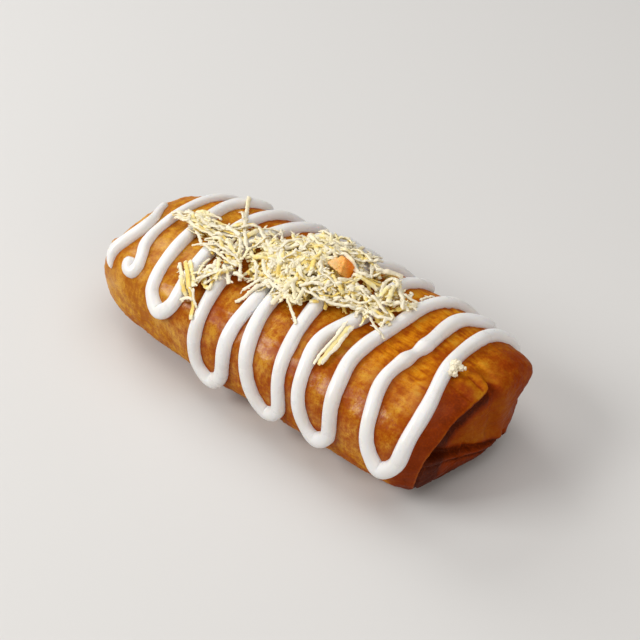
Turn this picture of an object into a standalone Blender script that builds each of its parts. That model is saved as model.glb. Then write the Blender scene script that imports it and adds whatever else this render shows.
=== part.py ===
"""A birria chimichanga: a fried flour tortilla roll with piped cream and grated cheese.

The roll lies along X on a flattened underside, its open folded end at +X and its
tucked round end at -X. The near side, which shows most, is -Y. Places on the roll
are given as (x, reach): x along the roll and reach as the length of skin from the
ridge, positive down the far side and negative down the near side.
"""

import math
import random
from bisect import bisect_left

import bmesh
import bpy
from mathutils import Matrix, Vector

MM = 0.001

# Roll (m)
HALF_LENGTH = 81.0 * MM
HALF_WIDTH = 35.8 * MM
HALF_HEIGHT = 21.5 * MM
SECTION_POWER = 2.8
REST_DEPTH = 1.2 * MM
LEFT_END_POWER = 5.0
RIGHT_END_POWER = 8.0
LEFT_TAPER = 0.15
RIGHT_TAPER = 0.07
BOW = -3.5 * MM
LEFT_SKEW = -0.04
RIGHT_SKEW = 0.07
RIGHT_LEAN = 0.17
SKIN_WAVE = 0.45 * MM
AROUND = 48
SIDE_RING_GAP = 8.5 * MM
LEFT_CAP_RINGS = (0.15, 0.32, 0.5, 0.66, 0.79, 0.88, 0.95)
RIGHT_CAP_RINGS = (0.97, 0.94, 0.9, 0.865, 0.83, 0.79, 0.73, 0.65, 0.55, 0.44, 0.32, 0.2, 0.09)

# Folds of the two ends (m)
WRAP_BORDER = 0.83
POCKET_DEPTH = 6.5 * MM
LOWER_FLAP_DEPTH = 1.8 * MM
FLAP_EDGE = 6.0 * MM
CREASE_DEPTH = 0.8 * MM
CREASE_WIDTH = 3.2 * MM
FAR_EAR_HEIGHT = 2.6 * MM
FAR_EAR_SIZE = 6.5 * MM
LEFT_TUCK_DEPTH = 2.6 * MM

# Piped cream (m): one strand, laid to and fro across the roll
CREAM_HALF_WIDTH = 3.0 * MM
CREAM_HEIGHT = 3.2 * MM
CREAM_ROOT = 1.3 * MM
CREAM_PROFILE = ((-1.0, 0.28), (-0.72, 0.78), (0.0, 1.0), (0.72, 0.78), (1.0, 0.28))
CLEAR_PROFILE = ((-1.04, 0.26), (-0.5, 1.0), (0.5, 1.0), (1.04, 0.26))
CREAM_LONGEST_STEP = 11.0 * MM
CREAM_SHARPEST_STEP = math.radians(27.0)
LEG_REACHES = (-38.0, -20.0, 0.0, 20.0)
CREAM_LEGS = (
    (-69.0, -70.0, -72.5, -76.0),
    (-54.6, -60.5, -63.8, -61.5),
    (-42.8, -46.9, -50.4, -52.8),
    (-34.6, -34.1, -38.5, -36.0),
    (-19.5, -22.8, -26.8, -23.0),
    (-6.4, -5.0, -9.5, -11.0),
    (4.8, 0.7, -1.5, -4.0),
    (20.2, 16.4, 13.0, 13.0),
    (29.1, 25.8, 30.0, 28.0),
    (43.0, 39.3, 40.7, 42.0),
    (58.4, 53.2, 54.5, 54.3),
    (72.6, 70.2, 64.9, 64.3),
)
NEAR_TURNS = (
    (-38.8, -42.0, 3.6),
    (-12.3, -58.0, 5.4),
    (15.0, -57.0, 5.6),
    (37.8, -55.0, 5.4),
    (66.6, -51.0, 5.0),
)
FAR_TURNS = (
    (-46.0, 42.0, 5.6),
    (-20.5, 43.0, 5.6),
    (5.0, 42.0, 5.0),
    (29.5, 42.5, 5.4),
    (57.5, 41.0, 5.2),
)
TAIL_START = ((-77.0, 27.0),)
TAIL_END = ((65.6, 24.0), (68.6, 28.0), (72.2, 30.5))
TURN_SHOULDER = 5.0
CRUMBS = ((67.6, -2.0, 1.5), (69.6, -0.4, 1.3), (69.6, -3.4, 1.4), (70.8, -1.8, 1.2))

# Grated cheese (m)
GAP = 0.35 * MM
SHRED_WIDTH = 1.9 * MM
SHRED_THICKNESS = 1.2 * MM
SHRED_STEPS = 4
HEAP_SEED = 38
HEAP_SHREDS = 19
MOUNDS = (
    (4.0, 4.5, 28.0, 12.5, 7.0, 0.22),
    (-37.0, -5.0, 15.0, 4.6, 5.2, -0.1),
    (32.5, 12.5, 8.5, 9.0, 6.2, 0.3),
)
MOUND_SPOKES = 18
MOUND_RINGS = (0.35, 0.65, 0.88, 1.0)
MOUND_BASE = 1.0 * MM
HEAP_STRANDS = (
    ((-59.0, -2.5, 4.4), (-47.0, -1.0, 5.0), (-37.0, 1.0, 5.6), (-28.0, 4.0, 6.0)),
    ((-57.0, -6.5, 4.2), (-46.0, -7.0, 5.0), (-35.0, -9.0, 5.4)),
    ((-42.0, -12.5, 4.0), (-33.0, -11.5, 5.0), (-23.0, -14.0, 5.0)),
    ((-47.0, 22.0, 5.6), (-42.0, 13.0, 5.4), (-38.0, 5.0, 5.8), (-33.0, -3.0, 6.0)),
    ((-33.0, 6.0, 5.0), (-26.0, -4.0, 5.0), (-19.0, -12.0, 5.0), (-14.5, -18.0, 4.2)),
    ((-24.0, 13.0, 5.0), (-18.0, 6.0, 6.5), (-12.0, -2.0, 7.4)),
    ((-15.0, -3.0, 4.8), (-22.5, -12.0, 5.0), (-26.0, -18.0, 4.6), (-25.5, -22.5, 4.2)),
    ((-27.5, -17.0, 4.4), (-22.0, -19.0, 4.8), (-16.5, -21.0, 4.2)),
    ((-12.0, -24.0, 4.2), (-5.0, -19.0, 4.8), (2.0, -13.0, 4.8), (8.0, -6.0, 4.3)),
    ((-14.0, -20.0, 4.2), (-6.0, -15.5, 4.8), (1.0, -9.0, 5.2), (5.0, -3.0, 5.4)),
    ((1.0, -6.0, 5.0), (5.0, -12.0, 5.0), (11.0, -16.5, 4.6), (16.5, -21.5, 4.0)),
    ((-10.0, 19.0, 4.8), (-4.0, 14.0, 6.8), (3.0, 8.0, 8.0)),
    ((8.0, 17.0, 6.8), (18.0, 14.5, 7.6), (26.0, 17.0, 6.4), (31.0, 20.5, 5.2)),
    ((31.0, 23.0, 4.8), (29.0, 15.0, 7.0), (30.0, 6.0, 6.6)),
    ((32.0, 24.5, 4.6), (36.0, 15.0, 6.0), (38.0, 7.0, 5.4), (44.5, 3.5, 4.4)),
    ((34.0, 15.0, 5.2), (41.0, 19.0, 4.6), (47.0, 21.0, 4.4)),
    ((25.0, 3.0, 4.6), (34.0, -1.5, 5.2), (42.5, -1.0, 4.6)),
    ((27.0, 6.0, 4.8), (32.0, -0.5, 5.2), (38.0, -4.0, 4.8), (42.0, -8.5, 4.2)),
)
FLAKE_PLACE = (13.5, 6.5, 7.4)
FLAKE_SIZE = (5.6 * MM, 4.6 * MM, 4.0 * MM)
TUFT_STRANDS = (
    ((-42.0, -19.5, 4.6), (-35.5, -23.5, 5.0), (-29.5, -27.0, 4.8), (-25.5, -31.0, 4.2), (-22.5, -34.5, 3.8)),
    ((-39.0, -18.2, 4.8), (-33.5, -22.5, 5.4), (-28.5, -27.5, 5.2), (-25.0, -33.0, 4.2)),
    ((-36.5, -18.0, 4.6), (-32.0, -22.0, 5.0), (-28.0, -26.0, 4.6)),
    ((-31.5, -30.5, 4.0), (-26.5, -30.0, 4.4)),
)
STRIP_STRAND = ((31.6, -28.0, 2.2), (31.6, -22.0, 2.6), (31.4, -16.5, 3.0), (31.4, -11.5, 3.6))
STRIP_WIDTH = 3.6 * MM
STRIP_THICKNESS = 1.5 * MM

WELD = 0.002 * MM

# Puts the middle of the whole piece's box over the origin (m)
CENTRING = Vector((-1.04 * MM, 0.47 * MM, 0.0))


def smooth_step(value, low, high):
    """Rise from 0 to 1 between two values, with level ends."""
    part = min(max((value - low) / (high - low), 0.0), 1.0)
    return part * part * (3.0 - 2.0 * part)


def signed_power(value, power):
    """Power that keeps the sign of its base."""
    return math.copysign(abs(value) ** power, value)


def section_table(steps=720):
    """Reach, y and z along one full section, from under the near side to under the far side."""
    rows = []
    reach = 0.0
    for step in range(steps + 1):
        turn = math.radians(-90.0 - 360.0 * step / steps)
        y = HALF_WIDTH * signed_power(math.cos(turn), 2.0 / SECTION_POWER)
        z = HALF_HEIGHT * signed_power(math.sin(turn), 2.0 / SECTION_POWER)
        if rows:
            reach += math.hypot(y - rows[-1][1], z - rows[-1][2])
        rows.append((reach, y, z))
    middle = rows[steps // 2][0]
    return [(reach - middle, y, z) for reach, y, z in rows]


SECTION = section_table()
SECTION_REACHES = [row[0] for row in SECTION]
HALF_GIRTH = SECTION_REACHES[-1]
CENTRE_HEIGHT = HALF_HEIGHT - REST_DEPTH


def section_point(reach):
    """Point of the full section, from its centre, at a reach from the ridge."""
    reach = min(max(reach, -HALF_GIRTH), HALF_GIRTH)
    upper = min(max(bisect_left(SECTION_REACHES, reach), 1), len(SECTION) - 1)
    low, high = SECTION[upper - 1], SECTION[upper]
    part = (reach - low[0]) / (high[0] - low[0])
    return low[1] + part * (high[1] - low[1]), low[2] + part * (high[2] - low[2])


def end_power(x):
    """How square the roll's end on this side is."""
    return LEFT_END_POWER if x < 0.0 else RIGHT_END_POWER


def girth_share(x):
    """Size of the section at x, as a share of the full one."""
    along = min(abs(x) / HALF_LENGTH, 1.0)
    power = end_power(x)
    return (1.0 - along ** power) ** (1.0 / power)


def skin_wave(x, reach):
    """Gentle puffs and hollows of the fried skin."""
    wave = math.sin(x / (7.3 * MM) + reach / (19.0 * MM) + 0.6)
    wave += 0.8 * math.sin(x / (13.1 * MM) - reach / (9.7 * MM) + 2.1)
    wave += 0.5 * math.sin(x / (4.9 * MM) + reach / (6.8 * MM))
    return SKIN_WAVE * wave / 2.3


def below_crease(y, z):
    """Height over the crease where the lower flap meets the inner fold; negative on the flap."""
    return z - (10.6 * MM - 0.5 * y + 0.004 / MM * y * y)


def right_fold(y, z):
    """How far the folded end lies behind its full form, along X."""
    across = y / HALF_WIDTH
    up = (z - CENTRE_HEIGHT) / HALF_HEIGHT
    border = (abs(across) ** SECTION_POWER + abs(up) ** SECTION_POWER) ** (1.0 / SECTION_POWER)
    pocket = POCKET_DEPTH * smooth_step(-y, -9.0 * MM, 16.0 * MM)
    pocket += 1.2 * MM * smooth_step(border, 0.9, 0.4)
    over_crease = below_crease(y, z)
    flap = smooth_step(over_crease, 0.0, -FLAP_EDGE)
    depth = pocket * (1.0 - flap) + LOWER_FLAP_DEPTH * flap
    depth += CREASE_DEPTH * math.exp(-((over_crease - 1.5 * MM) / CREASE_WIDTH) ** 2)
    wrap = smooth_step(border, WRAP_BORDER - 0.04, WRAP_BORDER + 0.02) * smooth_step(-y, -3.0 * MM, 1.0 * MM)
    outer = smooth_step(border, 0.86, 0.98)
    notch = math.exp(-((y - 19.0 * MM) ** 2 + (z - 3.5 * MM) ** 2) / (2.6 * MM) ** 2)
    dome = math.exp(-((y - 13.0 * MM) ** 2 + (z - 21.0 * MM) ** 2) / (12.0 * MM) ** 2)
    return depth * (1.0 - max(wrap, outer)) + 2.4 * MM * notch - 1.8 * MM * dome


def left_fold(y, z):
    """How far the tucked end lies behind its full form, along -X."""
    across = y / HALF_WIDTH
    up = (z - CENTRE_HEIGHT) / HALF_HEIGHT
    border = math.hypot(across, up)
    edge = z - (20.0 * MM - 0.55 * y)
    tuck = smooth_step(edge, 0.0, 2.4 * MM) * math.exp(-max(edge, 0.0) / (15.0 * MM))
    return LEFT_TUCK_DEPTH * tuck * smooth_step(border, 0.92, 0.6)


def roll_point(x, reach, share=None):
    """Point of the roll's bare skin; share is the section's size where x alone is too coarse."""
    along = min(max(x / HALF_LENGTH, -1.0), 1.0)
    right = x > 0.0
    share = girth_share(x) if share is None else share
    share *= 1.0 - (RIGHT_TAPER if right else LEFT_TAPER) * along * along
    y, z = section_point(reach)
    wave = skin_wave(x, reach) * share
    length = math.hypot(y, z)
    y = y * share * (1.0 + wave / length)
    z = z * share * (1.0 + wave / length) + CENTRE_HEIGHT
    push = abs(along) ** 3
    skew = (RIGHT_SKEW if right else LEFT_SKEW) * y
    lean = RIGHT_LEAN * (z - HALF_HEIGHT) if right else 0.0
    point = Vector((x + push * (skew + lean), y + BOW * along * along, max(z, 0.0)))
    inside = smooth_step(abs(along), 0.86, 0.95)
    if right:
        point.x -= right_fold(point.y, point.z) * inside
    else:
        point.x += left_fold(point.y, point.z) * inside
    ear = point - Vector((75.0 * MM, 31.5 * MM, 18.0 * MM))
    bulge = FAR_EAR_HEIGHT * math.exp(-ear.length_squared / FAR_EAR_SIZE ** 2)
    return point + Vector((0.5, 0.86, 0.0)) * bulge


def on_roll(x, reach, lift):
    """Point at a height above the skin, and the outward normal there."""
    step = 0.4 * MM
    along = roll_point(x + step, reach) - roll_point(x - step, reach)
    around = roll_point(x, reach - step) - roll_point(x, reach + step)
    normal = around.cross(along).normalized()
    normal = normal if normal.dot(roll_point(x, reach) - Vector((x, 0.0, CENTRE_HEIGHT))) > 0.0 else -normal
    return roll_point(x, reach) + normal * lift, normal


def through(points, step):
    """Points at even steps along a smooth curve through the given ones."""
    count = len(points)
    dense = []
    for index in range(count - 1):
        before = points[max(index - 1, 0)]
        start, end = points[index], points[index + 1]
        after = points[min(index + 2, count - 1)]
        for part in range(12):
            t = part / 12.0
            dense.append(
                0.5 * (2.0 * start + (end - before) * t
                       + (2.0 * before - 5.0 * start + 4.0 * end - after) * t * t
                       + (3.0 * start - before - 3.0 * end + after) * t ** 3)
            )
    dense.append(points[-1])
    lengths = [0.0]
    for first, second in zip(dense, dense[1:]):
        lengths.append(lengths[-1] + (second - first).length)
    pieces = max(int(round(lengths[-1] / step)), 2)
    even = []
    for piece in range(pieces + 1):
        goal = lengths[-1] * piece / pieces
        upper = min(max(bisect_left(lengths, goal), 1), len(dense) - 1)
        span = max(lengths[upper] - lengths[upper - 1], 1e-9)
        even.append(dense[upper - 1].lerp(dense[upper], (goal - lengths[upper - 1]) / span))
    return even


def leg_points(leg, downward):
    """One crossing of the roll, from the far side down to the near side or back up."""
    points = [Vector((x, reach, 0.0)) for x, reach in zip(leg, LEG_REACHES)]
    return points[::-1] if downward else points


def turn_points(turn, rightward_side):
    """The round end of two legs: a shoulder, the lowest point and a shoulder."""
    x, reach, half = turn
    shoulder = reach - math.copysign(TURN_SHOULDER, reach)
    first, last = (x - half, x + half) if rightward_side else (x + half, x - half)
    return [Vector((first, shoulder, 0.0)), Vector((x, reach, 0.0)), Vector((last, shoulder, 0.0))]


def main_route():
    """The long strand from the hooked end of the second leg to the far right end."""
    hook = [Vector((-59.6, -30.0, 0.0)), Vector((-58.6, -35.0, 0.0)), Vector((-55.4, -37.2, 0.0))]
    route = hook + leg_points(CREAM_LEGS[1], downward=False)[1:]
    for pair, far in enumerate(FAR_TURNS):
        route += turn_points(far, rightward_side=True)
        route += leg_points(CREAM_LEGS[2 * pair + 2], downward=True)
        route += turn_points(NEAR_TURNS[pair], rightward_side=True)
        route += leg_points(CREAM_LEGS[2 * pair + 3], downward=False)
    return route[:-1] + [Vector((x, reach, 0.0)) for x, reach in TAIL_END]


def loft(bm, rings):
    """Closed tube through rings of points, with a flat face at both ends."""
    loops = [[bm.verts.new(point) for point in ring] for ring in rings]
    size = len(loops[0])
    for first, second in zip(loops, loops[1:]):
        for corner in range(size):
            after = (corner + 1) % size
            bm.faces.new((first[corner], first[after], second[after], second[corner]))
    bm.faces.new(loops[0][::-1])
    bm.faces.new(loops[-1])


def thin_out(points, longest, sharpest):
    """Indices of the points to keep: close together in bends and far apart on straights."""
    kept, turned, gone = [0], 0.0, 0.0
    for index in range(1, len(points) - 1):
        ahead = points[index + 1] - points[index]
        behind = points[index] - points[index - 1]
        gone += behind.length
        turned += behind.angle(ahead, 0.0)
        if gone > longest or turned > sharpest:
            kept.append(index)
            turned, gone = 0.0, 0.0
    return kept + [len(points) - 1]


def cream_rings(route, widths, extra, profile):
    """Half-round sections of cream that sit on the skin and root a little below it."""
    flat = through([Vector((point.x * MM, point.y * MM, 0.0)) for point in route], 1.0 * MM)
    skin = [on_roll(point.x, point.y, 0.0) for point in flat]
    points = [point for point, _normal in skin]
    rings = []
    for index in thin_out(points, CREAM_LONGEST_STEP, CREAM_SHARPEST_STEP):
        point, normal = skin[index]
        before = points[max(index - 1, 0)]
        after = points[min(index + 1, len(points) - 1)]
        across = (after - before).cross(normal).normalized()
        size = widths(index / (len(points) - 1))
        half = CREAM_HALF_WIDTH * size + extra
        height = CREAM_HEIGHT * min(size, 1.1) + extra
        ring = [point - across * half * 0.86 - normal * (CREAM_ROOT + extra)]
        for side, rise in profile:
            ring.append(point + across * half * side + normal * height * rise)
        ring.append(point + across * half * 0.86 - normal * (CREAM_ROOT + extra))
        rings.append(ring)
    return [rounded_end(rings[0], rings[1])] + rings + [rounded_end(rings[-1], rings[-2])]


def rounded_end(ring, inner):
    """A smaller ring a little beyond the last one, which rounds the strand's end."""
    centre = sum(ring, Vector()) / len(ring)
    away = (centre - sum(inner, Vector()) / len(inner)).normalized()
    reach = (ring[1] - ring[-2]).length * 0.26
    return [centre + (point - centre) * 0.58 + away * reach for point in ring]


def tail_widths(part):
    """The first leg ends in a thin drawn-out tail."""
    return 0.95 - 0.6 * smooth_step(part, 0.75, 1.0)


def main_widths(part):
    """The strand starts in a fat blob and keeps an even width, a little uneven by hand."""
    return 1.0 + 0.22 * smooth_step(part, 0.03, 0.0) + 0.05 * math.sin(part * 71.0)


def outward(bm):
    """Turn all faces out."""
    bmesh.ops.recalc_face_normals(bm, faces=bm.faces)


def make_object(name, bm):
    """Put a bmesh into a new object in the scene."""
    mesh = bpy.data.meshes.new(name)
    bm.to_mesh(mesh)
    bm.free()
    made = bpy.data.objects.new(name, mesh)
    bpy.context.scene.collection.objects.link(made)
    return made


def cap_x(share, power):
    """Where along the roll its end has shrunk to a share of the full section."""
    return HALF_LENGTH * (1.0 - share ** power) ** (1.0 / power)


def roll_rings():
    """(x, share) of each ring, from the tucked end to the folded end."""
    left = [(-cap_x(share, LEFT_END_POWER), share) for share in LEFT_CAP_RINGS]
    right = [(cap_x(share, RIGHT_END_POWER), share) for share in RIGHT_CAP_RINGS]
    span = right[0][0] - left[-1][0]
    count = int(round(span / SIDE_RING_GAP))
    sides = [left[-1][0] + span * step / count for step in range(1, count)]
    return left + [(x, girth_share(x)) for x in sides] + right


def make_roll_body(name, lift):
    """The roll, from a ball whose rings are laid onto the roll's sections."""
    rings = roll_rings()
    bm = bmesh.new()
    bands = len(rings) + 1
    bmesh.ops.create_uvsphere(bm, u_segments=AROUND, v_segments=bands, radius=1.0)
    for vert in bm.verts:
        band = int(round(math.acos(max(min(-vert.co.z, 1.0), -1.0)) / math.pi * bands))
        if band in (0, bands):
            x, share, reach = (-HALF_LENGTH if band == 0 else HALF_LENGTH), 0.0, 0.0
        else:
            x, share = rings[band - 1]
            turn = (math.degrees(math.atan2(vert.co.y, vert.co.x)) - 90.0) % 360.0
            turn = turn - 360.0 if turn > 180.0 else turn
            reach = turn / 180.0 * HALF_GIRTH
        point = roll_point(x, reach, share)
        if lift:
            centre = Vector((x * 0.96, point.y * 0.5, CENTRE_HEIGHT))
            point = point + (point - centre).normalized() * lift * 1.3
        vert.co = point
    outward(bm)
    return make_object(name, bm)


def make_cream(name, route, widths, extra):
    """One strand of piped cream."""
    bm = bmesh.new()
    loft(bm, cream_rings(route, widths, extra, CLEAR_PROFILE if extra else CREAM_PROFILE))
    outward(bm)
    return make_object(name, bm)


def tail_route():
    """The short separate strand at the tucked end."""
    route = [Vector((x, reach, 0.0)) for x, reach in TAIL_START]
    route += leg_points(CREAM_LEGS[0], downward=True)[:-1]
    return route + [Vector((-71.8, -29.0, 0.0)), Vector((-71.4, -34.0, 0.0)), Vector((-68.8, -39.0, 0.0))]


def make_crumb(name, x, reach, radius):
    """A small lump of crumbled cheese on the last strand of cream."""
    bm = bmesh.new()
    bmesh.ops.create_icosphere(bm, subdivisions=2, radius=radius * MM)
    place, _normal = on_roll(x * MM, reach * MM, CREAM_HEIGHT - 0.2 * MM)
    for vert in bm.verts:
        vert.co = vert.co * (1.0 + 0.16 * math.sin(vert.co.x * 2300.0 + vert.co.y * 1700.0)) + place
    return make_object(name, bm)


def keep_largest(bm):
    """Drop the loose scraps and the walls of sealed hollows that fusing leaves."""
    bm.faces.ensure_lookup_table()
    left = set(bm.faces)
    islands = []
    while left:
        seed = left.pop()
        island, edge = [seed], [seed]
        while edge:
            face = edge.pop()
            for side in face.edges:
                for other in side.link_faces:
                    if other in left:
                        left.discard(other)
                        island.append(other)
                        edge.append(other)
        islands.append(island)
    islands.sort(key=len)
    scraps = [face for island in islands[:-1] for face in island]
    bmesh.ops.delete(bm, geom=scraps, context="FACES")


def tidy(made):
    """Weld doubled corners, split faces into triangles and keep one body."""
    bm = bmesh.new()
    bm.from_mesh(made.data)
    bmesh.ops.remove_doubles(bm, verts=bm.verts, dist=WELD)
    bmesh.ops.dissolve_degenerate(bm, edges=bm.edges, dist=WELD)
    bmesh.ops.triangulate(bm, faces=bm.faces)
    keep_largest(bm)
    bm.to_mesh(made.data)
    bm.free()


def combine(base, others, operation, solver="MANIFOLD"):
    """Join the others to the base, or cut them from it, in one Boolean."""
    group = bpy.data.collections.new("group_" + base.name)
    bpy.context.scene.collection.children.link(group)
    for other in others:
        group.objects.link(other)
    step = base.modifiers.new("combine", "BOOLEAN")
    step.operation = operation
    step.operand_type = "COLLECTION"
    step.collection = group
    step.solver = solver
    graph = bpy.context.evaluated_depsgraph_get()
    result = bpy.data.meshes.new_from_object(base.evaluated_get(graph))
    base.modifiers.clear()
    base.data = result
    for other in others:
        bpy.data.objects.remove(other)
    bpy.data.collections.remove(group)
    return base


def shred_along(name, places, width, thickness, twist):
    """A strip through evenly spaced places, turned by twist from its first to its last one."""
    placed = [on_roll(place.x, place.y, place.z) for place in places]
    rings = []
    for index, (point, normal) in enumerate(placed):
        before = placed[max(index - 1, 0)][0]
        after = placed[min(index + 1, len(placed) - 1)][0]
        along = (after - before).normalized()
        across = along.cross(normal).normalized()
        up = across.cross(along)
        turn = twist * index / (len(placed) - 1)
        side = (across * math.cos(turn) + up * math.sin(turn)) * width * 0.5
        rise = (up * math.cos(turn) - across * math.sin(turn)) * thickness * 0.5
        rings.append([point - side - rise, point + side - rise, point + side + rise, point - side + rise])
    bm = bmesh.new()
    loft(bm, rings)
    outward(bm)
    return make_object(name, bm)


def curve_through(places, count):
    """A few evenly spaced places on the smooth curve through the given ones, in metres."""
    even = through([Vector(place) * MM for place in places], 0.5 * MM)
    return [even[int(round(step * (len(even) - 1) / count))] for step in range(count + 1)]


def mound_height(x, reach):
    """Height of the heap's core over the skin, in millimetres."""
    best = 0.0
    for middle_x, middle_reach, half_x, half_reach, height, tilt in MOUNDS:
        level = reach - middle_reach - tilt * (x - middle_x)
        out = math.hypot((x - middle_x) / half_x, level / half_reach)
        best = max(best, height * (1.0 - 0.45 * min(out, 1.0) ** 2) if out < 1.0 else 0.0)
    return best


def make_mound(name, mound):
    """Low uneven heap of cheese, wide as its outline and rooted in the roll."""
    middle_x, middle_reach, half_x, half_reach, _height, tilt = mound
    rings = []
    bm = bmesh.new()
    for out in MOUND_RINGS:
        ring = []
        for spoke in range(MOUND_SPOKES):
            turn = math.tau * spoke / MOUND_SPOKES
            ragged = 1.0 + (0.1 * math.sin(3.0 * turn + half_x) + 0.08 * math.sin(7.0 * turn)) * out
            x = middle_x + half_x * out * ragged * math.cos(turn)
            level = middle_reach + tilt * (x - middle_x)
            reach = level + half_reach * out * ragged * math.sin(turn)
            inner_x = middle_x + (x - middle_x) * 0.99 / ragged
            lift = mound_height(inner_x, level + half_reach * out * math.sin(turn) * 0.99)
            lift += 0.5 * math.sin(x * 0.9) * math.cos(reach * 1.1)
            ring.append((x, reach, lift))
        rings.append(ring)
    top = [[bm.verts.new(on_roll(x * MM, reach * MM, lift * MM)[0]) for x, reach, lift in ring] for ring in rings]
    crown, _normal = on_roll(middle_x * MM, middle_reach * MM, mound_height(middle_x, middle_reach) * MM)
    floor = [bm.verts.new(on_roll(x * MM, reach * MM, -MOUND_BASE)[0]) for x, reach, _lift in rings[-1]]
    root, _normal = on_roll(middle_x * MM, middle_reach * MM, -2.0 * MOUND_BASE)
    crown, root = bm.verts.new(crown), bm.verts.new(root)
    bands = top + [floor]
    for spoke in range(MOUND_SPOKES):
        after = (spoke + 1) % MOUND_SPOKES
        bm.faces.new((crown, bands[0][spoke], bands[0][after]))
        for inner, outer in zip(bands, bands[1:]):
            bm.faces.new((inner[spoke], outer[spoke], outer[after], inner[after]))
        bm.faces.new((root, floor[after], floor[spoke]))
    bmesh.ops.triangulate(bm, faces=bm.faces)
    outward(bm)
    return make_object(name, bm)


def scattered_strands():
    """Seeded short curved strips that lie over the heap's core."""
    draw = random.Random(HEAP_SEED)
    strands = []
    while len(strands) < HEAP_SHREDS:
        x = draw.uniform(-24.0, 34.0)
        reach = draw.uniform(-11.0, 19.0)
        height = mound_height(x, reach)
        if height <= 0.0 or math.hypot(x - FLAKE_PLACE[0], reach - FLAKE_PLACE[1]) < 8.0:
            continue
        turn = draw.uniform(0.0, math.pi)
        length = draw.uniform(9.0, 17.0)
        bend = draw.uniform(-2.5, 2.5)
        ends = []
        for part, sag in ((-0.5, 0.0), (0.0, 1.0), (0.5, 0.0)):
            place_x = x + length * part * math.cos(turn) - bend * sag * math.sin(turn)
            place_reach = reach + length * part * math.sin(turn) + bend * sag * math.cos(turn)
            over = max(mound_height(place_x, place_reach), 4.2) + 0.5
            ends.append((place_x, place_reach, over))
        strands.append(tuple(ends))
    return strands


def clearance(lift):
    """The roll and its cream grown by a gap, for cutting what lies on them."""
    body = make_roll_body("cutter", lift)
    strands = [make_cream("cutter_cream", main_route(), main_widths, lift)]
    strands.append(make_cream("cutter_tail", tail_route(), tail_widths, lift))
    combine(body, strands, "UNION")
    tidy(body)
    return body


def make_flake(name, grow):
    """A blistered crisp of tortilla that stands in the cheese."""
    bm = bmesh.new()
    bmesh.ops.create_icosphere(bm, subdivisions=2, radius=1.0)
    x, reach, lift = FLAKE_PLACE
    place, _normal = on_roll(x * MM, reach * MM, lift * MM)
    for vert in bm.verts:
        bump = 1.0 + 0.13 * math.sin(vert.co.x * 4.0 + 1.0) * math.cos(vert.co.y * 3.0 + vert.co.z * 2.0)
        vert.co = Vector((vert.co.x * (FLAKE_SIZE[0] + grow), vert.co.y * (FLAKE_SIZE[1] + grow),
                          vert.co.z * (FLAKE_SIZE[2] + grow))) * bump + place
    return make_object(name, bm)


def make_material(name, colour, roughness):
    """Plain glossy or dull food surface."""
    material = bpy.data.materials.new(name)
    material.use_nodes = True
    shader = material.node_tree.nodes["Principled BSDF"]
    shader.inputs["Base Color"].default_value = (*colour, 1.0)
    shader.inputs["Roughness"].default_value = roughness
    shader.inputs["Metallic"].default_value = 0.0
    return material


def finish(made, material):
    """Tidy a node's mesh, set it in its place and give it its material."""
    tidy(made)
    made.data.transform(Matrix.Translation(CENTRING))
    made.data.materials.clear()
    made.data.materials.append(material)
    return made


def build_roll(fried):
    """The roll with its strands of cream and the crumbs on the last one."""
    body = make_roll_body("roll", 0.0)
    pieces = [
        make_cream("cream", main_route(), main_widths, 0.0),
        make_cream("cream_tail", tail_route(), tail_widths, 0.0),
    ]
    pieces += [make_crumb("crumb", *place) for place in CRUMBS]
    combine(body, pieces, "UNION")
    return finish(body, fried)


def build_heap(cheese):
    """The grated cheese: core, hanging strands and scattered strips, cut to lie on the roll."""
    heap = make_mound("grated_cheese", MOUNDS[0])
    pieces = [make_mound("mound", mound) for mound in MOUNDS[1:]]
    for strand in list(HEAP_STRANDS) + scattered_strands():
        pieces.append(shred_along("strip", curve_through(strand, SHRED_STEPS), SHRED_WIDTH, SHRED_THICKNESS, 0.5))
    combine(heap, pieces, "UNION")
    combine(heap, [clearance(GAP), make_flake("cutter_flake", GAP)], "DIFFERENCE")
    return finish(heap, cheese)


def build_flake(crisp):
    """The crisp flake, cut to lie on the roll."""
    flake = make_flake("crisp_flake", 0.0)
    combine(flake, [clearance(GAP)], "DIFFERENCE")
    return finish(flake, crisp)


def build_strands(name, strands, width, thickness, cheese):
    """A few strips fused into one piece that lies beside the heap."""
    first, *others = [
        shred_along(name if index == 0 else "strip", curve_through(strand, SHRED_STEPS), width, thickness, 0.3)
        for index, strand in enumerate(strands)
    ]
    if others:
        combine(first, others, "UNION")
    combine(first, [clearance(GAP)], "DIFFERENCE")
    return finish(first, cheese)


def main():
    """Clear the scene and build every piece."""
    for made in list(bpy.data.objects):
        bpy.data.objects.remove(made)
    fried = make_material("fried_tortilla", (0.62, 0.24, 0.05), 0.45)
    cheese = make_material("grated_cheese", (0.87, 0.74, 0.38), 0.5)
    crisp = make_material("crisp_flake", (0.85, 0.36, 0.08), 0.5)
    build_roll(fried)
    build_heap(cheese)
    build_flake(crisp)
    build_strands("cheese_tuft", TUFT_STRANDS, SHRED_WIDTH, SHRED_THICKNESS, cheese)
    build_strands("cheese_strip", (STRIP_STRAND,), STRIP_WIDTH, STRIP_THICKNESS, cheese)


main()
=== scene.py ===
"""Looks of a birria chimichanga: a fried tortilla roll, piped cream and grated cheese.

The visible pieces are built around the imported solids, in the same frame. Lengths inside the
classes are millimetres and become metres when a mesh is made. Places on the roll are given as
(x, reach): x along the roll and reach as the length of skin from the ridge, positive down the
far side and negative down the near side.
"""

from __future__ import annotations

import logging
import math
from dataclasses import dataclass, field
from enum import Enum

import bmesh
import bpy
import numpy as np
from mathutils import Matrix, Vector, kdtree, noise
from numpy.typing import ArrayLike

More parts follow.
